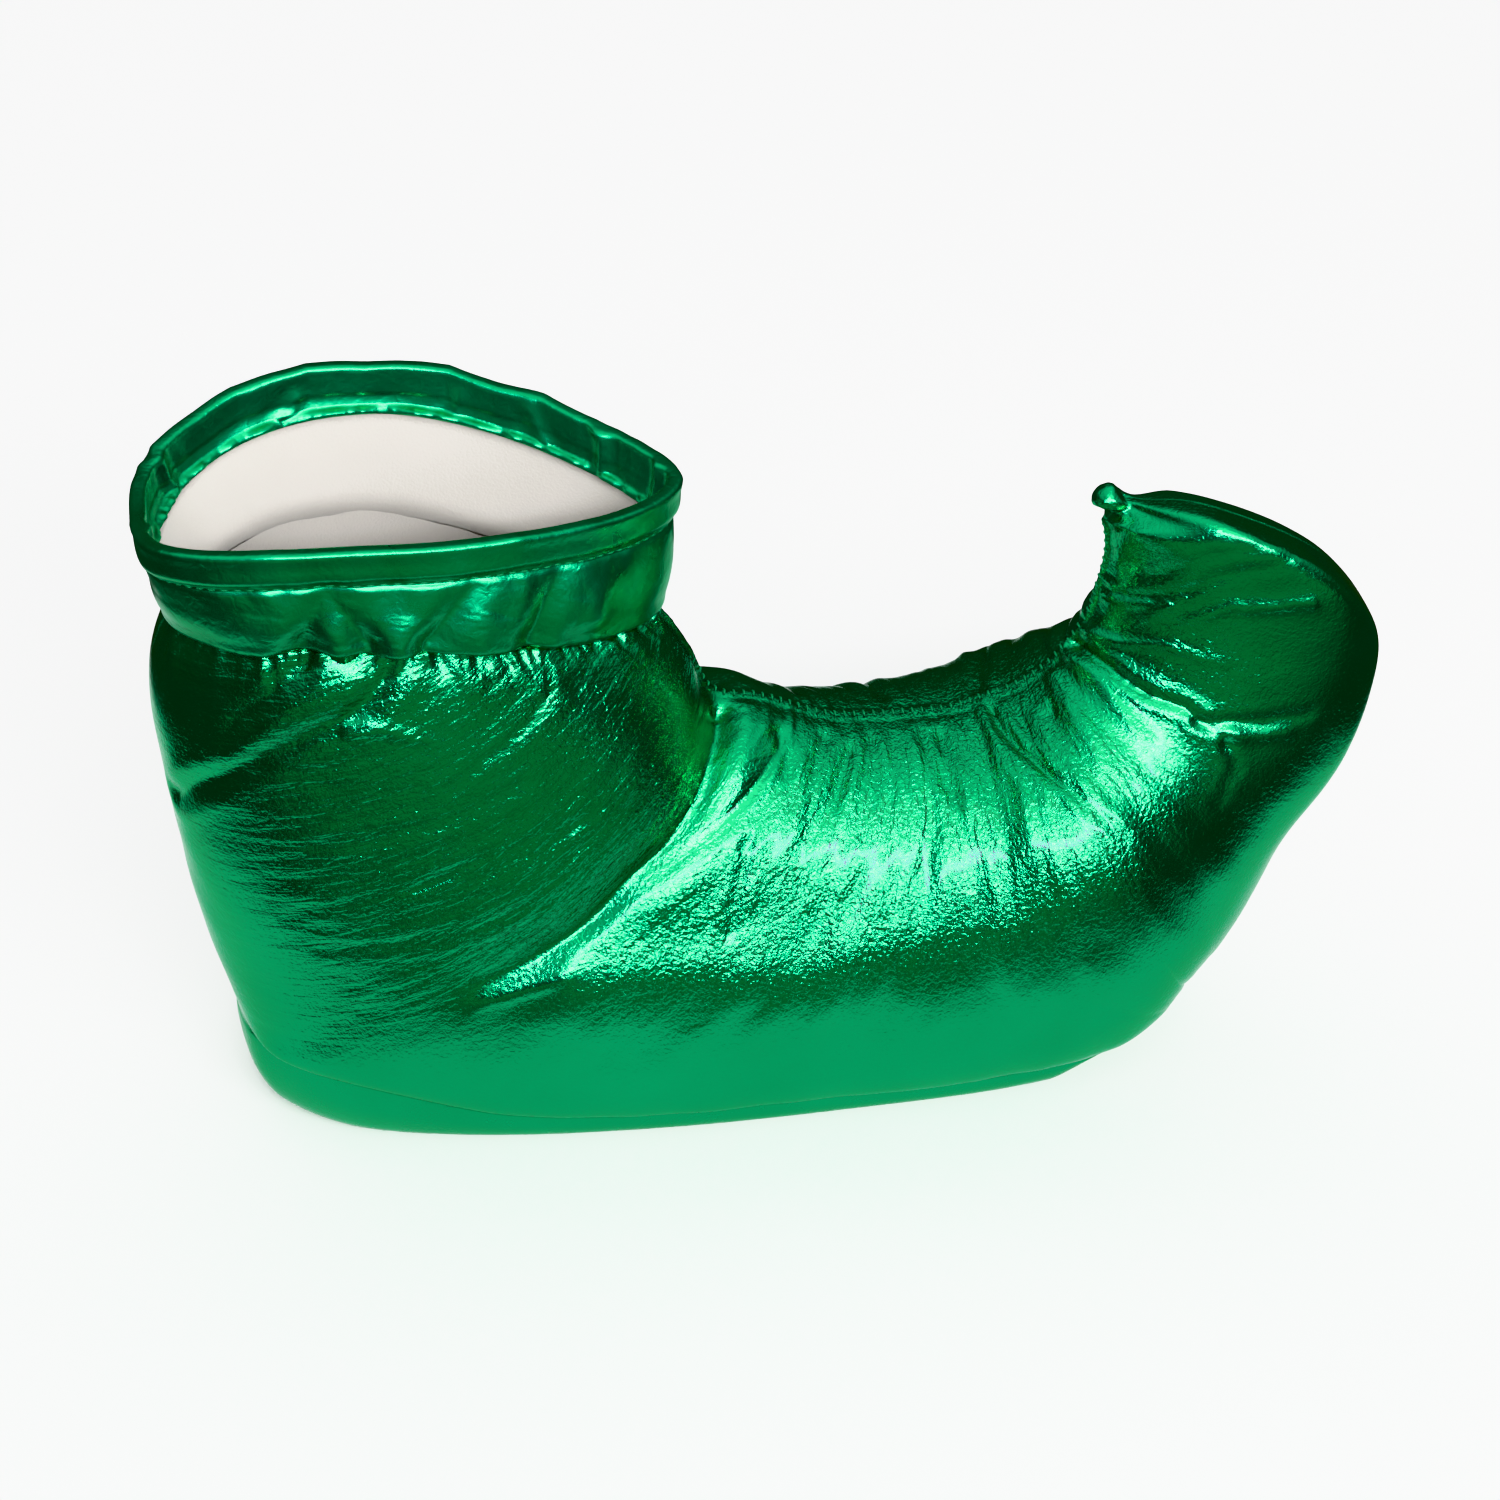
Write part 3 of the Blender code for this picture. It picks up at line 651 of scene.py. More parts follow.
far_edge = bridge([ring[HALF_COLUMNS + 1] for ring in open_rings],
                  [ring[inner_half + 1] for ring in open_lining])
edge_faces = bridge_rings(rings[0], lining_rings[0]) + near_edge + turned_over(far_edge)
lining_faces = turned_over(tidy_faces(lining_faces))
edge_faces = turned_over(tidy_faces(edge_faces))


def add_piece(name, points, faces, materials, face_materials=None, ways=None):
    """Smooth-shaded object from points in millimetres; ways are maps of the cloth's own directions."""
    mesh = bpy.data.meshes.new(name)
    mesh.from_pydata((points * MM).tolist(), [], faces)
    for surface in materials:
        mesh.materials.append(surface)
    if face_materials is not None:
        mesh.polygons.foreach_set("material_index", face_materials)
    mesh.polygons.foreach_set("use_smooth", [True] * len(mesh.polygons))
    corners = np.zeros(len(mesh.loops), np.int32)
    mesh.loops.foreach_get("vertex_index", corners)
    for way_name, way in (ways or {}).items():
        layer = mesh.uv_layers.new(name=way_name)
        layer.data.foreach_set("uv", (way[corners] * MM).astype(np.float32).ravel())
    mesh.update()
    made = bpy.data.objects.new(name, mesh)
    bpy.context.scene.collection.objects.link(made)
    return made


def add_node(tree, kind, inputs, **settings):
    """Shader node with its settings; each input is a plain value or an output of another node."""
    made = tree.nodes.new("ShaderNode" + kind)
    for name, value in settings.items():
        setattr(made, name, value)
    for name, value in inputs.items():
        if isinstance(value, bpy.types.NodeSocket):
            tree.links.new(value, made.inputs[name])
        else:
            made.inputs[name].default_value = value
    return made


def math_node(tree, operation, *values):
    """Result of a math node, from numbers and outputs of other nodes."""
    return add_node(tree, "Math", dict(enumerate(values)), operation=operation).outputs[0]


# Foil grain, shared by all foil cloth: a fine crackle, drag lines along the cloth's own ways, worn gloss
# and an uneven green
HEEL_LINES = 0.75
HEEL_LINE_SIZE = (105.0, 430.0, 1.0)
HEEL_LINE_DETAIL = 2.0
VAMP_LINES = (0.35, 0.95)
VAMP_LINE_SIZE = (85.0, 340.0, 1.0)
VAMP_LINE_DETAIL = 3.0
LINE_NOISE = (0.55, 0.6)
VAMP_CRACKLE = (0.5, 1.0)
CRACKLE_NOISE = (2.0, 0.5, 0.8)
WEAR_NOISE = (60.0, 4.0, 0.6, 0.3)
SHADE_NOISE = (28.0, 3.0, 0.5, 0.0)
foil_grain = bpy.data.node_groups.new("foil_grain", "ShaderNodeTree")
for socket_name, direction in (("Crackle Size", "INPUT"), ("Crackle", "INPUT"), ("Drag", "INPUT"),
                               ("Height", "OUTPUT"), ("Wear", "OUTPUT"), ("Shade", "OUTPUT")):
    foil_grain.interface.new_socket(name=socket_name, in_out=direction, socket_type="NodeSocketFloat")
grain_in = foil_grain.nodes.new("NodeGroupInput").outputs
grain_out = foil_grain.nodes.new("NodeGroupOutput").inputs
grain_at = add_node(foil_grain, "TexCoord", {}).outputs["Object"]


def soft_noise(tree, at, scale, detail, roughness=0.5, distortion=0.0):
    """Noise in ripples to the metre."""
    return add_node(tree, "TexNoise", {"Vector": at, "Scale": scale, "Detail": detail, "Roughness": roughness,
                                       "Distortion": distortion}).outputs["Fac"]


def drag_noise(way_name, size, detail):
    """Noise drawn out along a way of the cloth; the size is in ripples to the metre along and across it."""
    way = add_node(foil_grain, "UVMap", {}, uv_map=way_name).outputs["UV"]
    drawn = add_node(foil_grain, "VectorMath", {0: way, 1: size}, operation="MULTIPLY").outputs["Vector"]
    return soft_noise(foil_grain, drawn, 1.0, detail, *LINE_NOISE)


share_map = add_node(foil_grain, "UVMap", {}, uv_map="share").outputs["UV"]
share_split = add_node(foil_grain, "SeparateXYZ", {"Vector": share_map}).outputs
heel_mask = math_node(foil_grain, "MULTIPLY", share_split["X"], 1.0 / MM)
crinkle = math_node(foil_grain, "MULTIPLY", share_split["Y"], 1.0 / MM)
crumple = math_node(foil_grain, "MULTIPLY_ADD", crinkle, VAMP_LINES[1], VAMP_LINES[0])
crinkle = math_node(foil_grain, "MULTIPLY_ADD", crinkle, VAMP_CRACKLE[1], VAMP_CRACKLE[0])
crinkle = math_node(foil_grain, "MULTIPLY", crinkle, grain_in["Crackle"])
crackle = soft_noise(foil_grain, grain_at, grain_in["Crackle Size"], *CRACKLE_NOISE)
crackle = math_node(foil_grain, "MULTIPLY", crackle, crinkle)
heel_lines = drag_noise("heel_way", HEEL_LINE_SIZE, HEEL_LINE_DETAIL)
heel_lines = math_node(foil_grain, "MULTIPLY", heel_lines, HEEL_LINES)
vamp_lines = drag_noise("vamp_way", VAMP_LINE_SIZE, VAMP_LINE_DETAIL)
vamp_lines = math_node(foil_grain, "MULTIPLY", vamp_lines, crumple)
drag = add_node(foil_grain, "Mix", {"Factor": heel_mask, "A": vamp_lines, "B": heel_lines}).outputs["Result"]
drag = math_node(foil_grain, "MULTIPLY", drag, grain_in["Drag"])
foil_grain.links.new(math_node(foil_grain, "ADD", crackle, drag), grain_out["Height"])
foil_grain.links.new(soft_noise(foil_grain, grain_at, *WEAR_NOISE), grain_out["Wear"])
foil_grain.links.new(soft_noise(foil_grain, grain_at, *SHADE_NOISE), grain_out["Shade"])


def new_material(name, plain):
    """Material with its node tree and its shader, whose plain sockets are set."""
    made = bpy.data.materials.new(name)
    made.use_nodes = True
    shader = made.node_tree.nodes["Principled BSDF"]
    for socket_name, value in plain.items():
        shader.inputs[socket_name].default_value = value
    return made, made.node_tree, shader


def two_tone(tree, shader, mask, first, second):
    """Colour that runs from one tone to another over a mask."""
    tone = add_node(tree, "Mix", {"Factor": mask, "A": first, "B": second}, data_type="RGBA")
    tree.links.new(tone.outputs["Result"], shader.inputs["Base Color"])


def raise_grain(tree, shader, height, strength, distance):
    """Bump of a grain on the surface."""
    raised = add_node(tree, "Bump", {"Height": height, "Strength": strength, "Distance": distance})
    tree.links.new(raised.outputs["Normal"], shader.inputs["Normal"])


FOIL_GREEN = (0.004, 0.37, 0.135, 1.0)
FOIL_DEEP = (0.002, 0.29, 0.095, 1.0)
FOIL_EDGE = (0.25, 0.8, 0.55, 1.0)
FOIL_PLAIN = {"Metallic": 1.0, "Specular Tint": FOIL_EDGE, "Coat Weight": 0.25, "Coat Roughness": 0.12}
WEAR_RANGE = (0.3, 0.7)


def foil_material(name, crackle_size, crackle_height, drag_height, gloss):
    """Green metal film on cloth, with the shared grain at its own strength; crackle size is to the metre."""
    made, tree, shader = new_material(name, FOIL_PLAIN)
    grain = tree.nodes.new("ShaderNodeGroup")
    grain.node_tree = foil_grain
    grain.inputs["Crackle Size"].default_value = crackle_size
    grain.inputs["Crackle"].default_value = crackle_height
    grain.inputs["Drag"].default_value = drag_height
    raise_grain(tree, shader, grain.outputs["Height"], 1.0, MM)
    two_tone(tree, shader, grain.outputs["Shade"], FOIL_DEEP, FOIL_GREEN)
    dull = add_node(tree, "MapRange", {"Value": grain.outputs["Wear"],
                                       "From Min": WEAR_RANGE[0], "From Max": WEAR_RANGE[1],
                                       "To Min": gloss[0], "To Max": gloss[1]})
    tree.links.new(dull.outputs["Result"], shader.inputs["Roughness"])
    return made


COTTON_PLAIN = {"Roughness": 0.85, "Sheen Weight": 0.2}
COTTON_WEAVE = (1400.0, 2.0)
COTTON_CLOUD = (45.0, 3.0)
COTTON_BUMP = (0.5, 0.3 * MM)


def cotton_material(name, colour, shadow):
    """Pale plain-woven cotton."""
    made, tree, shader = new_material(name, COTTON_PLAIN)
    at = add_node(tree, "TexCoord", {}).outputs["Object"]
    two_tone(tree, shader, soft_noise(tree, at, *COTTON_CLOUD), shadow, colour)
    raise_grain(tree, shader, soft_noise(tree, at, *COTTON_WEAVE), *COTTON_BUMP)
    return made


LINING_PALE = (0.49, 0.46, 0.43, 1.0)
LINING_SHADE = (0.42, 0.395, 0.365, 1.0)
UPPER_FOIL = (800.0, 0.3, 0.7, (0.12, 0.2))
foil_cloth = foil_material("foil_cloth", *UPPER_FOIL)
lining_cotton = cotton_material("lining_cotton", LINING_PALE, LINING_SHADE)
upper_all_faces = upper_faces + lining_faces + edge_faces
face_materials = [0] * len(upper_faces) + [1] * len(lining_faces) + [0] * len(edge_faces)
cloth_ways = {"heel_way": heel_way, "vamp_way": vamp_way, "share": np.stack([heel_share, crinkled], axis=1)}
cloth_ways = {name: np.concatenate([way, way[lining_order]]) for name, way in cloth_ways.items()}
upper = add_piece("shoe_upper", np.concatenate([outer_points, lining_points]), upper_all_faces,
                  [foil_cloth, lining_cotton], face_materials, cloth_ways)
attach(upper, "root")
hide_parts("upper")

# Collar band: a ring of doubled foil cloth, turned over at the rim and topstitched, with its facing sewn to
# the lining inside in a tight ruched seam. Its lower edge covers the gathers.
BAND_ROWS = {
    "foot":      (135, 153,   5, 164, 40.5, 45, 0.56, 1.7, 2.2, 2.2, 0, 10.6, 10.3),
    "mid":       (138, 172,   2, 177, 41, 47, 0.55, 1.7, 3.0, 2.2,  0, 8.4, 11.4),
    "hem_under": (140, 183,  -1, 185, 42, 50, 0.54, 1.6, 3.3, 2.2,  0,  8, 12),
    "hem_over":  (141, 185,  -2, 187, 43, 51, 0.54, 1.6, 3.4, 2.2,  0,  8, 12),
    "rim":       (141, 193,  -2, 195, 43, 51, 0.54, 1.6, 3.5, 2.2,  0,  8, 12),
}
BAND_HEIGHTS = (0.0, 19.0, 30.0, 32.0, 40.0)
BAND_HEIGHT = BAND_HEIGHTS[-1]
BAND_WALL = 2.4
BAND_COLUMNS = 240
OUTSIDE_STEPS = 48
HEM_STEP = 1.0
HEM_STEP_FROM = BAND_HEIGHTS[2]
HEM_STEP_OVER = BAND_HEIGHTS[3] - BAND_HEIGHTS[2]
HEM_STITCH = 28.0
# Swellings and hollows of the band's face: height first, width last, and between them the place
HEM_SWELL = (0.45, 0.5)
STITCH_GROOVE = (0.8, 0.9)
RIM_STEPS = 9
RIM_ROLL = (0.6, 1.0, 2.0)
RIM_DROP = 1.2
RIM_RISE = 1.5
RIM_OUT = 1.1
FOOT_ROLL = (0.8, 2.6, 2.2)
FOOT_TUCK = (1.6, 1.0)
PILLOW_HEIGHT = 2.6
PILLOW_LOW = 0.8
PILLOW_ROUND = 0.9
FACING_STEPS = 16
FACING_FOOT = 27.0
RUCHE_STEPS = 10
RUCHE_FOOT = 23.8
RUCHE_FULL = 1.5
RUCHE_ROUND = 0.7
LINING_STEPS = 16
LINING_FOOT = -10.0
LINING_LAP = 3.4
LINING_FLARE = 5.4
FLARE_FROM = 0.7
FLARE_OVER = 0.3


def band_loop():
    """Cross-section of the band, up the outside and down the inside: height and offset from its face."""
    loop = []
    for height in np.linspace(0.0, BAND_HEIGHT - RIM_DROP, OUTSIDE_STEPS):
        offset = HEM_SWELL[0] * (1.0 / (1.0 + math.exp(-(height - HEM_STITCH) / HEM_SWELL[1])))
        offset += -STITCH_GROOVE[0] * bell(height - HEM_STITCH, STITCH_GROOVE[1])
        offset += RIM_ROLL[0] * bell(height - BAND_HEIGHT + RIM_ROLL[1], RIM_ROLL[2])
        foot_roll = FOOT_ROLL[0] * bell(height - FOOT_ROLL[1], FOOT_ROLL[2])
        offset += foot_roll - FOOT_TUCK[0] * bell(height, FOOT_TUCK[1])
        up_band = min(height / HEM_STITCH, 1.0)
        offset += PILLOW_HEIGHT * math.sin(math.pi * up_band ** PILLOW_LOW) ** PILLOW_ROUND
        loop.append((height, offset, "outside"))
    for angle in np.linspace(0.0, math.pi, RIM_STEPS)[1:-1]:
        reach = 0.5 * (BAND_WALL + HEM_STEP + RIM_OUT)
        loop.append((BAND_HEIGHT - RIM_DROP + RIM_RISE * math.sin(angle),
                     RIM_OUT - reach + reach * math.cos(angle), "rim"))
    for height in np.linspace(BAND_HEIGHT - RIM_DROP, FACING_FOOT, FACING_STEPS):
        loop.append((height, -BAND_WALL - HEM_STEP * ramp(height, HEM_STEP_FROM, HEM_STEP_OVER), "facing"))
    for share in np.linspace(0.0, 1.0, RUCHE_STEPS)[1:]:
        loop.append((FACING_FOOT + (RUCHE_FOOT - FACING_FOOT) * share,
                     -BAND_WALL - RUCHE_FULL * math.sin(math.pi * share) ** RUCHE_ROUND, "ruche"))
    # The lining hangs on below the gathers and covers their raw edge
    for share in np.linspace(0.0, 1.0, LINING_STEPS)[1:]:
        flare = LINING_FLARE * max((share - FLARE_FROM) / FLARE_OVER, 0.0) ** 2
        loop.append((RUCHE_FOOT + (LINING_FOOT - RUCHE_FOOT) * share,
                     -BAND_WALL - LINING_LAP * share + flare, "lining"))
    return loop


band_section = band_loop()
band_angle = np.concatenate([np.linspace(0.0, math.pi, BAND_COLUMNS + 1)[:-1],
                             np.linspace(math.pi, 0.0, BAND_COLUMNS + 1)[:-1]])
band_count = len(band_angle)
band_near = np.arange(band_count) < BAND_COLUMNS
OUTWARD_ROUNDS = 6


def band_face(height):
    """Ring of points on the band's outer face at a height above its foot, in the order of the columns."""
    place = np.interp(height, BAND_HEIGHTS, np.arange(len(BAND_HEIGHTS)))
    ring = section_points(BAND_ROWS, np.full(band_count, place), band_angle, band_near)
    ring[:, 0] -= table_middle
    ring[:, 2] += min(height, 0.0)
    return ring


def unit(ways):
    """Directions brought to length 1."""
    return ways / np.linalg.norm(ways, axis=1)[:, None]


def ring_outward(ring):
    """Level outward direction at each point of a ring, eased round sharp corners."""
    way = np.roll(ring, -1, axis=0) - np.roll(ring, 1, axis=0)
    outward = unit(np.stack([-way[:, 1], way[:, 0], 0.0 * way[:, 0]], axis=1))
    for step in range(OUTWARD_ROUNDS):
        outward = unit(np.roll(outward, 1, axis=0) + 2 * outward + np.roll(outward, -1, axis=0))
    if np.einsum("ij,ij->i", outward, ring - ring.mean(axis=0)).mean() < 0:
        outward = -outward
    return outward


RUCHE_PITCH = 4.6
RUCHE_FINER = 2.1
RUCHE_FINE_SHARE = 0.6
RUCHE_DEPTH = 1.4
RUCHE_SLACK = 0.8
band_round = band_face(HEM_STITCH)
puckers = ripple(band_round / RUCHE_PITCH, seed=21)
puckers += RUCHE_FINE_SHARE * ripple(RUCHE_FINER * band_round / RUCHE_PITCH, seed=22)
band_rings = []
band_outward = []
for height, offset, part in band_section:
    ring = band_face(height)
    outward = ring_outward(ring)
    if part == "ruche":
        fullness = (offset + BAND_WALL) / -RUCHE_FULL
        ring = ring + outward * (offset - fullness * puckers * RUCHE_DEPTH)[:, None]
        ring[:, 2] += RUCHE_SLACK * fullness * puckers
    else:
        ring = ring + outward * offset
    band_rings.append(ring)
    band_outward.append(outward)
band_points = np.concatenate(band_rings)
band_directions = np.concatenate(band_outward)
band_part = np.repeat([part for height, offset, part in band_section], band_count)
band_up = np.repeat([height for height, offset, part in band_section], band_count)
outside = band_part == "outside"
facing = band_part == "facing"
round_rim = facing | (band_part == "rim")

# Dents that the gathers pull into the band
BAND_CREASES = (
    ("trough", 3.0, 0.7, 3.2, ((-126, -41, 191), (-128, -40, 183), (-132, -37, 171))),
    ("trough", 2.8, 0.7, 3.2, ((-124, -41, 189), (-117, -40, 178), (-111, -38, 170))),
    ("trough", 2.8, 0.7, 3.2, ((-87, -38, 187), (-97, -39, 177), (-105, -38, 168))),
    ("trough", 3.0, 0.7, 3.0, ((-65, -31, 186), (-69, -32, 177), (-74, -32, 166))),
    ("ridge", 6.5, 0.6, 3.2, ((-105, -40, 184), (-107, -39, 176), (-108, -38, 170))),
    ("ridge", 9.0, 0.6, 3.0, ((-146, -38, 185), (-146, -37, 177), (-146, -33, 170))),
    ("ridge", 6.5, 0.6, 2.6, ((-84, -36, 180), (-86, -36, 172))),
    ("ridge", 4.5, 0.6, 2.2, ((-120, -39, 176), (-121, -38, 170))),
    ("ridge", 6.0, 0.6, 2.2, ((-54, -26, 180), (-56, -26, 170))),
    ("trough", 2.4, 0.4, 2.0, ((-128, 44, 190), (-125, 42, 172))),
    ("trough", 2.6, 0.4, 2.2, ((-92, 45, 190), (-96, 43, 172))),
    ("trough", 2.4, 0.4, 1.8, ((-60, 31, 188), (-64, 30, 170))),
)
# Tucks in the facing and over the rim, where the hem was turned round the corners
FACING_TUCKS = (
    ("trough", 1.8, 1.3, 1.7, ((-50, 18, 183), (-48, 19, 191), (-49, 20, 197))),
    ("trough", 1.5, 1.0, 1.3, ((-37, 5, 183), (-35, 5, 190), (-34, 6, 195))),
    ("trough", 1.8, 1.3, 1.5, ((-162, 23, 186), (-165, 21, 192), (-167, 20, 198))),
    ("trough", 1.6, 1.2, 1.4, ((-168, -13, 186), (-169, -13, 195))),
    ("trough", 1.6, 0.9, 0.7, ((-62, 30, 186), (-66, 33, 196))),
    ("trough", 1.5, 0.5, 0.6, ((-86, 40, 186), (-83, 42, 197))),
    ("trough", 1.6, 0.6, 0.6, ((-131, 42, 187), (-127, 44, 198))),
)
# Soft waves round the band, small dents along the stitches, and a rim that runs a little uneven
DENT_LIMIT = (-1.4, 0.1)
BAND_WAVE = 0.35
BAND_WAVE_LENGTH = np.array((11.0, 11.0, 22.0))
DENTS_UNDER_RIM = 3.0
DENTS_OVER = 8.0
FACING_WAVE = 0.3
FACING_WAVE_LENGTH = np.array((9.0, 9.0, 16.0))
STITCH_DENT = 0.7
STITCH_DENT_LENGTH = 5.5
STITCH_DENT_UNDER = 2.0
STITCH_DENT_REACH = 3.2
KINK = 1.7
KINK_LEVEL = 0.3
KINK_LENGTH = 34.0
KINK_FINE = 0.25
KINK_FINE_LENGTH = 12.0
KINK_UNDER = 4.0
KINK_OVER = 10.0
DROOP = 1.1
DROOP_UNEVEN = 1.3
DROOP_LENGTH = 24.0
DROOP_RANGE = (0.2, 2.4)
DROOP_REACH = 5.0
band_shift = np.zeros(len(band_points))
band_shift[outside] = press(band_points[outside], band_directions[outside], BAND_CREASES)
band_shift = np.maximum(band_shift, DENT_LIMIT[0] - DENT_LIMIT[1] * band_up)
band_shift[outside] += BAND_WAVE * ripple(band_points[outside] / BAND_WAVE_LENGTH, seed=31)
band_shift *= ramp(BAND_HEIGHT - DENTS_UNDER_RIM - band_up, 0.0, DENTS_OVER)
band_shift[facing] += FACING_WAVE * ripple(band_points[facing] / FACING_WAVE_LENGTH, seed=32)
band_shift[round_rim] += press(band_points[round_rim], band_directions[round_rim], FACING_TUCKS)
stitch_dents = np.tile(ripple(band_round / STITCH_DENT_LENGTH, seed=34), len(band_section))
stitch_dents *= bell(band_up - HEM_STITCH + STITCH_DENT_UNDER, STITCH_DENT_REACH)
band_shift[outside] += STITCH_DENT * stitch_dents[outside]
kinks = KINK_LEVEL - np.abs(ripple(band_round / KINK_LENGTH, seed=35))
kinks += KINK_FINE * ripple(band_round / KINK_FINE_LENGTH, seed=36)
rim_kinks = KINK * np.tile(kinks, len(band_section))
rim_kinks *= ramp(band_up - HEM_STITCH + KINK_UNDER, 0.0, KINK_OVER)
band_points = band_points + band_directions * (band_shift + rim_kinks)[:, None]
band_points[:, 2] += rim_kinks
droop = np.clip(DROOP + DROOP_UNEVEN * ripple(band_points / DROOP_LENGTH, seed=33), *DROOP_RANGE)
band_points[:, 2] -= np.where(outside, droop * np.exp(-band_up / DROOP_REACH), 0.0)
band_faces = []
band_face_materials = []
for row in range(len(band_section)):
    after = (row + 1) % len(band_section)
    pale = band_section[after][2] == "lining"
    for column in range(band_count):
        ahead = (column + 1) % band_count
        band_faces.append((row * band_count + column, after * band_count + column,
                           after * band_count + ahead, row * band_count + ahead))
        band_face_materials.append(1 if pale else 0)
BAND_FOIL = (360.0, 0.38, 0.0, (0.26, 0.36))
band_cloth = foil_material("band_cloth", *BAND_FOIL)
band = add_piece("shoe_collar_band", band_points, band_faces, [band_cloth, lining_cotton],
                 band_face_materials)
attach(band, "root")
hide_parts("collar_band")

# Hem stitches: a row of green thread round the band, holding the turned-over hem. Each stitch is a short
# rounded length of thread that dips into the cloth at both ends.
STITCH_SIDES = 6
STITCH_STEPS = 6
STITCH_TAPER = 0.75
STITCH_DIP = 1.1
HEM_PITCH = 3.4
HEM_STITCH_LENGTH = 2.5
HEM_THREAD = 0.34
HEM_PROUD = 0.15


def stitches(centres, ways, outs, length, radius):
    """Points and faces of separate stitches, each at its centre, along its way, half sunk into the cloth."""
    points = []
    faces = []
    for centre, way, out in zip(centres, ways, outs):
        first = len(points)
        across = np.cross(out, way)
        for step in range(STITCH_STEPS):
            share = -1.0 + 2.0 * step / (STITCH_STEPS - 1)
            thick = radius * (1.0 - STITCH_TAPER * share ** 4)
            middle = centre + way * (0.5 * length * share) - out * (STITCH_DIP * radius * share ** 2)
            for side in range(STITCH_SIDES):
                angle = 2.0 * math.pi * side / STITCH_SIDES
                points.append(middle + thick * (math.cos(angle) * across + math.sin(angle) * out))
        for step in range(STITCH_STEPS - 1):
            here = first + step * STITCH_SIDES
            beyond = here + STITCH_SIDES
            for side in range(STITCH_SIDES):
                ahead = (side + 1) % STITCH_SIDES
                faces.append((here + side, here + ahead, beyond + ahead, beyond + side))
        last = first + (STITCH_STEPS - 1) * STITCH_SIDES
        faces.append(tuple(range(first + STITCH_SIDES - 1, first - 1, -1)))
        faces.append(tuple(range(last, last + STITCH_SIDES)))
    return np.array(points), faces


def draw_along(points, run, spots):
    """Points of a line at given lengths along it."""
    return np.stack([np.interp(spots, run, points[:, axis]) for axis in range(3)], axis=1)


def along_loop(loop, pitch):
    """Evenly spaced spots on a closed loop of points, and the ways along it there."""
    closed = np.concatenate([loop, loop[:1]])
    run = run_along(closed)
    spots = draw_along(closed, run, np.linspace(0.0, run[-1], int(run[-1] / pitch), endpoint=False))
    return spots, unit(np.roll(spots, -1, axis=0) - np.roll(spots, 1, axis=0))


outside_rows = [row for row, (height, offset, part) in enumerate(band_section) if part == "outside"]
hem_row = min(outside_rows, key=lambda row: abs(band_section[row][0] - HEM_STITCH))
hem_ring = band_points[hem_row * band_count:(hem_row + 1) * band_count]
hem_spots, hem_ways = along_loop(hem_ring, HEM_PITCH)
hem_nearest = np.argmin(np.linalg.norm(hem_spots[:, None, :] - hem_ring[None, :, :], axis=2), axis=1)
hem_outs = band_outward[hem_row][hem_nearest]
hem_outs = unit(hem_outs - hem_ways * np.einsum("ij,ij->i", hem_outs, hem_ways)[:, None])
hem_points, hem_faces = stitches(hem_spots + HEM_PROUD * hem_outs, hem_ways, hem_outs, HEM_STITCH_LENGTH,
                                 HEM_THREAD)
THREAD_GREEN = (0.003, 0.10, 0.030, 1.0)
THREAD_LIGHT = (0.006, 0.17, 0.060, 1.0)
THREAD_PLAIN = {"Roughness": 0.5, "Specular IOR Level": 0.25}
THREAD_TWIST = 900.0
THREAD_BUMP = (0.4, 0.15 * MM)
sewing_thread, thread_tree, thread_shader = new_material("sewing_thread", THREAD_PLAIN)
thread_at = add_node(thread_tree, "TexCoord", {}).outputs["Object"]
twist = add_node(thread_tree, "TexWave", {"Vector": thread_at, "Scale": THREAD_TWIST},
                 bands_direction="DIAGONAL")
two_tone(thread_tree, thread_shader, twist.outputs["Fac"], THREAD_GREEN, THREAD_LIGHT)
raise_grain(thread_tree, thread_shader, twist.outputs["Fac"], *THREAD_BUMP)
hem_stitches = add_piece("hem_stitches", hem_points, hem_faces, [sewing_thread])
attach(hem_stitches, "root")

# Seam stitches: small oversewn stitches in the same thread over the raised top seam, where both side panels
# of the upper meet.
SEAM_PITCH = 2.8
SEAM_STITCH_LENGTH = 2.6
SEAM_THREAD = 0.3
SEAM_FROM = 2.0
SEAM_TO = TIP_END - 2.2
seam_rings = [ring[0] for ring, place in zip(rings, places) if SEAM_FROM < place < SEAM_TO]
seam_top = outer_points[seam_rings]
seam_run = run_along(seam_top)
seam_at = np.arange(0.0, seam_run[-1], SEAM_PITCH)
seam_spots = draw_along(seam_top, seam_run, seam_at)
seam_outs = draw_along(upper_normals[seam_rings], seam_run, seam_at)
seam_outs[:, 1] = 0.0
seam_outs = unit(seam_outs)
seam_ways = np.tile((0.0, 1.0, 0.0), (len(seam_spots), 1))
seam_points, seam_faces = stitches(seam_spots, seam_ways, seam_outs, SEAM_STITCH_LENGTH, SEAM_THREAD)
seam_stitches = add_piece("seam_stitches", seam_points, seam_faces, [sewing_thread])
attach(seam_stitches, "root")

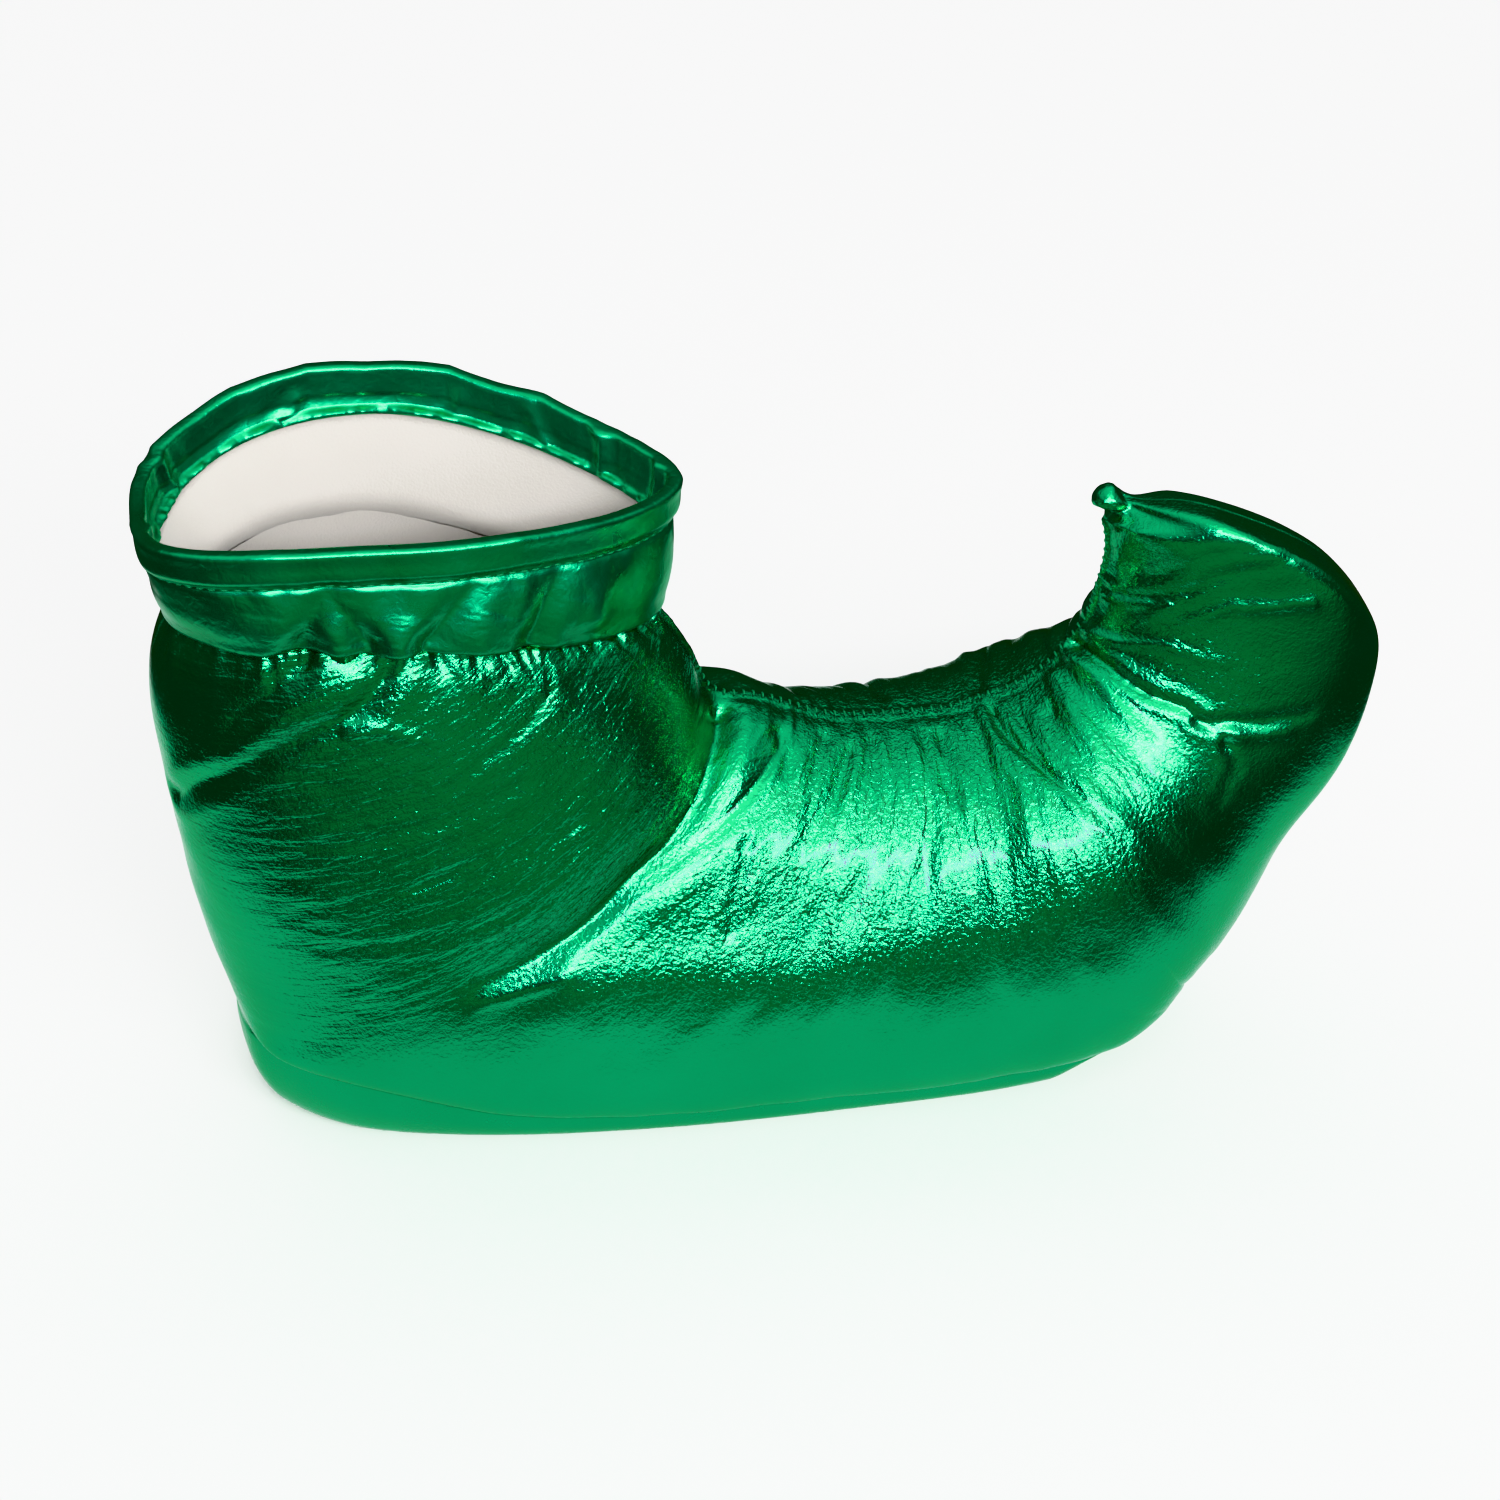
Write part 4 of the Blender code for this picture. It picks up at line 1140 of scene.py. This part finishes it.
# Outsole: a padded tray in the same cloth, flat from heel to forefoot and sprung up under the toe, with a
# soft cup round the heel. It is sewn all round to the bottom edge of the upper.
FLAT_END = 249.7
SPRING_SLOPE = 0.62
SOLE_LEAST = 1.8
SOLE_PAD = 8.0
CUP_WALL = 3.0
CUP_FOOT = 4.6
ROUND_LEAST = 4.5
ROUND_SHARE = 0.29
SEAM_GAP = 0.3
SOLE_STEP = 2.4
SOLE_EVEN = 2
SOLE_PROFILE = ((0.0, 1.0), (0.02, 0.75), (0.12, 0.50), (0.36, 0.25), (0.66, 0.09), (1.00, 0.00))
SOLE_ROUNDS = 14
SOLE_SWELL = 2.3
SWELL_FROM = (22.0, 45.0)
SWELL_POWER = 1.2
OVERHANG = (8.0, 5.0)
LIP_INSET = 0.45
LIP_EDGE = 0.4
LIP_SWELL = 0.9
LIP_RISE = 0.65
LIP_LEAST = 0.9
LIP_TUCK = 0.25
LIP_TUCK_REACH = 0.08
SOLE_INNER = (0.94, 0.85, 0.7, 0.5, 0.25, 0.0)
edge_places = even_places(UPPER_ROWS, HEEL_EDGE, SOLE_TIP, SOLE_STEP, SOLE_EVEN)
edge_sizes = section_sizes(UPPER_ROWS, edge_places)


def sole_outline(inset):
    """Edge of the sole opening on the near side from heel to toe and back on the far side, inset in plan."""
    side = np.stack([edge_sizes["outer_x"], -edge_sizes["opening"], edge_sizes["outer_z"]], axis=1)
    loop = np.concatenate([side, side[-2:0:-1] * (1.0, -1.0, 1.0)])
    way = np.roll(loop, -1, axis=0) - np.roll(loop, 1, axis=0)
    inward = unit(np.stack([-way[:, 1], way[:, 0], 0.0 * way[:, 0]], axis=1))
    return loop + inward * np.broadcast_to(inset, len(loop))[:, None]


def sole_loop(inset, height):
    """Loop of the sole at an inset from its seam and at a height for each of its points."""
    loop = sole_outline(inset)
    loop[:, 2] = height
    return loop


def narrowed(loop):
    """The same loop drawn in, step by step, to the spine of the sole."""
    return [loop * (1.0, share, 1.0) for share in SOLE_INNER]


def plate_mesh(loops):
    """Closed mesh over like loops, from the spine on top round the edge to the spine underneath, and the
    row of loops that each face is in."""
    count = len(loops[0])
    points = np.concatenate(loops)
    points[:, 0] -= table_middle
    index = np.arange(len(points)).reshape(len(loops), count)
    for row in (0, len(loops) - 1):
        index[row, count // 2 + 1:] = index[row, count // 2 - 1:0:-1]
    used = np.unique(index)
    fresh = np.zeros(len(points), int)
    fresh[used] = np.arange(len(used))
    index = fresh[index].tolist()
    faces = []
    face_rows = []
    for row, (here, under) in enumerate(zip(index, index[1:])):
        strip = []
        for place in range(count):
            ahead = (place + 1) % count
            strip.append((here[place], under[place], under[ahead], here[ahead]))
        strip = tidy_faces(strip)
        faces += strip
        face_rows += [row] * len(strip)
    return points[used], faces, face_rows


sole_seam = sole_outline(0.0)
sole_seam[:, 2] -= SEAM_GAP
seam_z = sole_seam[:, 2]
sprung = np.maximum(0.0, sole_seam[:, 0] - FLAT_END) * SPRING_SLOPE
sole_under = np.minimum(sprung, seam_z - SOLE_LEAST)
sole_deep = seam_z - sole_under
pad_top = np.minimum(sole_under + SOLE_PAD, seam_z)
sole_rounding = ROUND_LEAST + ROUND_SHARE * sole_deep
overhang = edge_sizes["near"] - edge_sizes["opening"]
overhang = np.concatenate([overhang, overhang[-2:0:-1]])
sole_full = SOLE_SWELL * ramp(sole_seam[:, 0], *SWELL_FROM)
sole_full *= ramp(overhang, *OVERHANG)
inner_edge = sole_loop(CUP_FOOT, pad_top)
sole_loops = narrowed(inner_edge)[::-1]
sole_loops += [inner_edge, sole_loop(CUP_WALL, seam_z), sole_loop(LIP_INSET, seam_z)]
lined_rows = len(sole_loops) - 1
lip_height = np.maximum(LIP_RISE * sole_full, LIP_LEAST)
sole_loops.append(sole_loop(LIP_EDGE - LIP_SWELL * sole_full, seam_z + lip_height))
profile_steps = np.linspace(0, len(SOLE_PROFILE) - 1, SOLE_ROUNDS)
for inset_share, height_share in smooth_between(SOLE_PROFILE, profile_steps):
    height_share = max(height_share, 0.0)
    swell = height_share ** SWELL_POWER - LIP_TUCK * bell(1.0 - height_share, LIP_TUCK_REACH)
    inset = sole_rounding * max(inset_share, 0.0) - sole_full * swell
    sole_loops.append(sole_loop(inset, sole_under + sole_deep * height_share))
sole_loops += narrowed(sole_loops[-1])
sole_points, sole_faces, sole_face_rows = plate_mesh(sole_loops)
sole_face_materials = [1 if row < lined_rows else 0 for row in sole_face_rows]
SOLE_FOIL = (420.0, 0.47, 0.0, (0.2, 0.32))
sole_cloth = foil_material("sole_cloth", *SOLE_FOIL)
outsole = add_piece("shoe_outsole", sole_points, sole_faces, [sole_cloth, lining_cotton], sole_face_materials)
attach(outsole, "root")
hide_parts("outsole")

# Insole: a loose sheet of pale felt, cut to lie on the padding of the sole inside its seam. Its edge is
# slightly rounded.
INSOLE_INSET = 5.4
INSOLE_SIDE = ((0.8, 3.0), (0.3, 2.8), (-0.2, 2.0), (-0.2, 0.8), (0.0, 0.0))
INSOLE_PALE = (0.78, 0.74, 0.71, 1.0)
INSOLE_SHADE = (0.66, 0.62, 0.58, 1.0)
insole_rest = pad_top + SEAM_GAP
insole_sides = [sole_loop(INSOLE_INSET + inset, insole_rest + height) for inset, height in INSOLE_SIDE]
insole_loops = narrowed(insole_sides[0])[::-1] + insole_sides + narrowed(insole_sides[-1])
insole_points, insole_faces = plate_mesh(insole_loops)[:2]
insole_felt = cotton_material("insole_felt", INSOLE_PALE, INSOLE_SHADE)
insole = add_piece("shoe_insole", insole_points, insole_faces, [insole_felt])
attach(insole, "root")
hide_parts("insole")

# Floor: a plain pale sheet, much larger than the shoe. To glossy rays it glows instead, as a painted
# reflection: a white patch that ends a little way round the shoe, and dark beyond, which paints the cloth's
# dark bands.
FLOOR_HALF = 7.0
FLOOR_CORNERS = ((-1.0, -1.0), (1.0, -1.0), (1.0, 1.0), (-1.0, 1.0))
FLOOR_PLAIN = {"Base Color": (0.9, 0.9, 0.9, 1.0), "Roughness": 0.9, "Specular IOR Level": 0.0}
# The glowing white patch and its dark surround, as the foil sees them: painted reflection colours, not lit by
# the lamps
GLOW_PATCH_MIDDLE = (-0.01, 0.07, 0.0)
GLOW_PATCH_REACH = (0.28, 0.185, 1.0)
GLOW_PATCH_EDGE = (0.88, 1.14)
GLOW_PATCH_WHITE = (1.0, 1.0, 1.0, 1.0)
DARK_IN_FRONT = (0.42, 0.42, 0.23, 1.0)
DARK_BEHIND = (0.06, 0.06, 0.035, 1.0)
DARK_TURNS = (-0.28, 0.08)
DARK_SIDEWAYS = 0.9
floor_mesh = bpy.data.meshes.new("floor")
floor_mesh.from_pydata([(FLOOR_HALF * x, FLOOR_HALF * y, 0.0) for x, y in FLOOR_CORNERS], [], [(0, 1, 2, 3)])
floor = bpy.data.objects.new("floor", floor_mesh)
bpy.context.scene.collection.objects.link(floor)
floor_paper_with_painted_reflection, paper_tree, paper_shader = new_material("floor_paper_with_painted_reflection", FLOOR_PLAIN)
paper_at = add_node(paper_tree, "TexCoord", {}).outputs["Object"]
paper_scaled = add_node(paper_tree, "Mapping", {"Vector": paper_at, "Location": GLOW_PATCH_MIDDLE,
                                                "Scale": GLOW_PATCH_REACH}, vector_type="TEXTURE")
paper_scaled = paper_scaled.outputs["Vector"]
paper_squared = add_node(paper_tree, "VectorMath", {0: paper_scaled, 1: paper_scaled}, operation="MULTIPLY")
paper_out = add_node(paper_tree, "VectorMath", {0: paper_squared.outputs["Vector"]}, operation="LENGTH")
paper_edge = add_node(paper_tree, "MapRange", {"Value": paper_out.outputs["Value"], "From Min": GLOW_PATCH_EDGE[0],
                                               "From Max": GLOW_PATCH_EDGE[1]}, interpolation_type="SMOOTHSTEP")
paper_split = add_node(paper_tree, "SeparateXYZ", {"Vector": paper_at}).outputs
paper_side = math_node(paper_tree, "ABSOLUTE", paper_split["X"])
paper_side = math_node(paper_tree, "MULTIPLY", paper_side, DARK_SIDEWAYS)
paper_side = math_node(paper_tree, "ADD", paper_split["Y"], paper_side)
paper_behind = add_node(paper_tree, "MapRange", {"Value": paper_side, "From Min": DARK_TURNS[0],
                                                 "From Max": DARK_TURNS[1]})
paper_dark = add_node(paper_tree, "Mix", {"Factor": paper_behind.outputs["Result"], "A": DARK_IN_FRONT,
                                          "B": DARK_BEHIND}, data_type="RGBA")
painted_reflection_tone = add_node(paper_tree, "Mix", {"Factor": paper_edge.outputs["Result"], "A": GLOW_PATCH_WHITE,
                                          "B": paper_dark.outputs["Result"]}, data_type="RGBA")
# Painted reflection: for glossy rays the floor glows with these tones instead of being lit
painted_reflection_glow = add_node(paper_tree, "Emission", {"Color": painted_reflection_tone.outputs["Result"]})
paper_path = add_node(paper_tree, "LightPath", {})
paper_mix = add_node(paper_tree, "MixShader", {"Fac": paper_path.outputs["Is Glossy Ray"],
                                               1: paper_shader.outputs["BSDF"],
                                               2: painted_reflection_glow.outputs["Emission"]})
paper_tree.links.new(paper_mix.outputs["Shader"], paper_tree.nodes["Material Output"].inputs["Surface"])
floor_mesh.materials.append(floor_paper_with_painted_reflection)

# Light: a tall soft panel behind the camera with a brighter strip in front of it, a soft box behind for the
# floor, and a pale room that the foil sees as dim near the horizon. The strip is cool in the foil's shine
# and white on the floor.
SHOE_HEART = (0.0, 0.0, 0.07)
PANEL_AT = (0.3, -1.22, 1.2)
PANEL_SIZE = (1.4, 1.95)
PANEL_RADIANCE = 1.9
STRIP_AT = (0.12, -1.2, 0.92)
STRIP_SIZE = (1.25, 0.15)
STRIP_RADIANCE = 52.0
STRIP_COOL = (0.85, 1.0, 1.5)
BACK_AT = (0.2, 1.6, 2.2)
BACK_AIM = (0.1, 1.2, 0.0)
BACK_SIZE = (3.0, 2.0)
BACK_RADIANCE = 2.0
ROOM_PALE = (0.8, 0.8, 0.8, 1.0)
ROOM_DIM = (0.3, (0.08, 0.08, 0.04, 1.0))
ROOM_BRIGHT = (0.95, (1.35, 1.35, 1.35, 1.0))
ROOM_BEHIND = 0.35


def soft_box(name, place, aim, size, radiance, colour=(1.0, 1.0, 1.0)):
    """Rectangular area light that looks at a point; radiance is how bright its face is."""
    lamp = bpy.data.lights.new(name, "AREA")
    lamp.shape = "RECTANGLE"
    lamp.size = size[0]
    lamp.size_y = size[1]
    lamp.energy = radiance * math.pi * size[0] * size[1]
    lamp.color = colour
    made = bpy.data.objects.new(name, lamp)
    made.location = place
    made.rotation_euler = (Vector(aim) - Vector(place)).to_track_quat("-Z", "Y").to_euler()
    made.visible_camera = False
    bpy.context.scene.collection.objects.link(made)
    return made


soft_box("front_panel", PANEL_AT, SHOE_HEART, PANEL_SIZE, PANEL_RADIANCE)
cool_strip = soft_box("front_strip", STRIP_AT, SHOE_HEART, STRIP_SIZE, STRIP_RADIANCE, STRIP_COOL)
cool_strip.visible_diffuse = False
white_strip = soft_box("front_fill", STRIP_AT, SHOE_HEART, STRIP_SIZE, STRIP_RADIANCE)
white_strip.visible_glossy = False
back_box = soft_box("back_box", BACK_AT, BACK_AIM, BACK_SIZE, BACK_RADIANCE)
back_box.visible_glossy = False
room = bpy.data.worlds.new("room")
bpy.context.scene.world = room
room.use_nodes = True
room_tree = room.node_tree
room_at = add_node(room_tree, "TexCoord", {}).outputs["Generated"]
room_split = add_node(room_tree, "SeparateXYZ", {"Vector": room_at}).outputs
room_behind = math_node(room_tree, "SUBTRACT", room_split["Y"], ROOM_BEHIND)
room_behind = math_node(room_tree, "MAXIMUM", room_behind, 0.0)
room_height = math_node(room_tree, "MULTIPLY_ADD", room_behind, -1.0, room_split["Z"])
room_ramp = add_node(room_tree, "ValToRGB", {"Fac": room_height})
for stop, (position, colour) in zip(room_ramp.color_ramp.elements, (ROOM_DIM, ROOM_BRIGHT)):
    stop.position = position
    stop.color = colour
room_path = add_node(room_tree, "LightPath", {})
room_mix = add_node(room_tree, "Mix", {"Factor": room_path.outputs["Is Glossy Ray"], "A": ROOM_PALE,
                                       "B": room_ramp.outputs["Color"]}, data_type="RGBA")
room_tree.links.new(room_mix.outputs["Result"], room_tree.nodes["Background"].inputs["Color"])
bpy.context.scene.view_settings.view_transform = "Khronos PBR Neutral"

# Camera: at the photograph's angle to the shoe, aimed at its middle, with the small roll that the
# photograph has.
CAMERA_AT = Vector((-0.14567, -0.76051, 0.64506))
CAMERA_AIM = Vector((-0.00695, 0.0, 0.10162))
CAMERA_UP = Vector((0.0653, 0.5267, 0.8475))
CAMERA_SENSOR = 36.0
CAMERA_LENS = 80.0
camera_data = bpy.data.cameras.new("camera")
camera_data.sensor_width = CAMERA_SENSOR
camera_data.lens = CAMERA_LENS
camera = bpy.data.objects.new("camera", camera_data)
camera_back = (CAMERA_AT - CAMERA_AIM).normalized()
camera_right = CAMERA_UP.cross(camera_back).normalized()
camera_up = camera_back.cross(camera_right)
turned = Matrix((camera_right, camera_up, camera_back)).transposed().to_4x4()
camera.matrix_world = Matrix.Translation(CAMERA_AT) @ turned
bpy.context.scene.collection.objects.link(camera)
bpy.context.scene.camera = camera
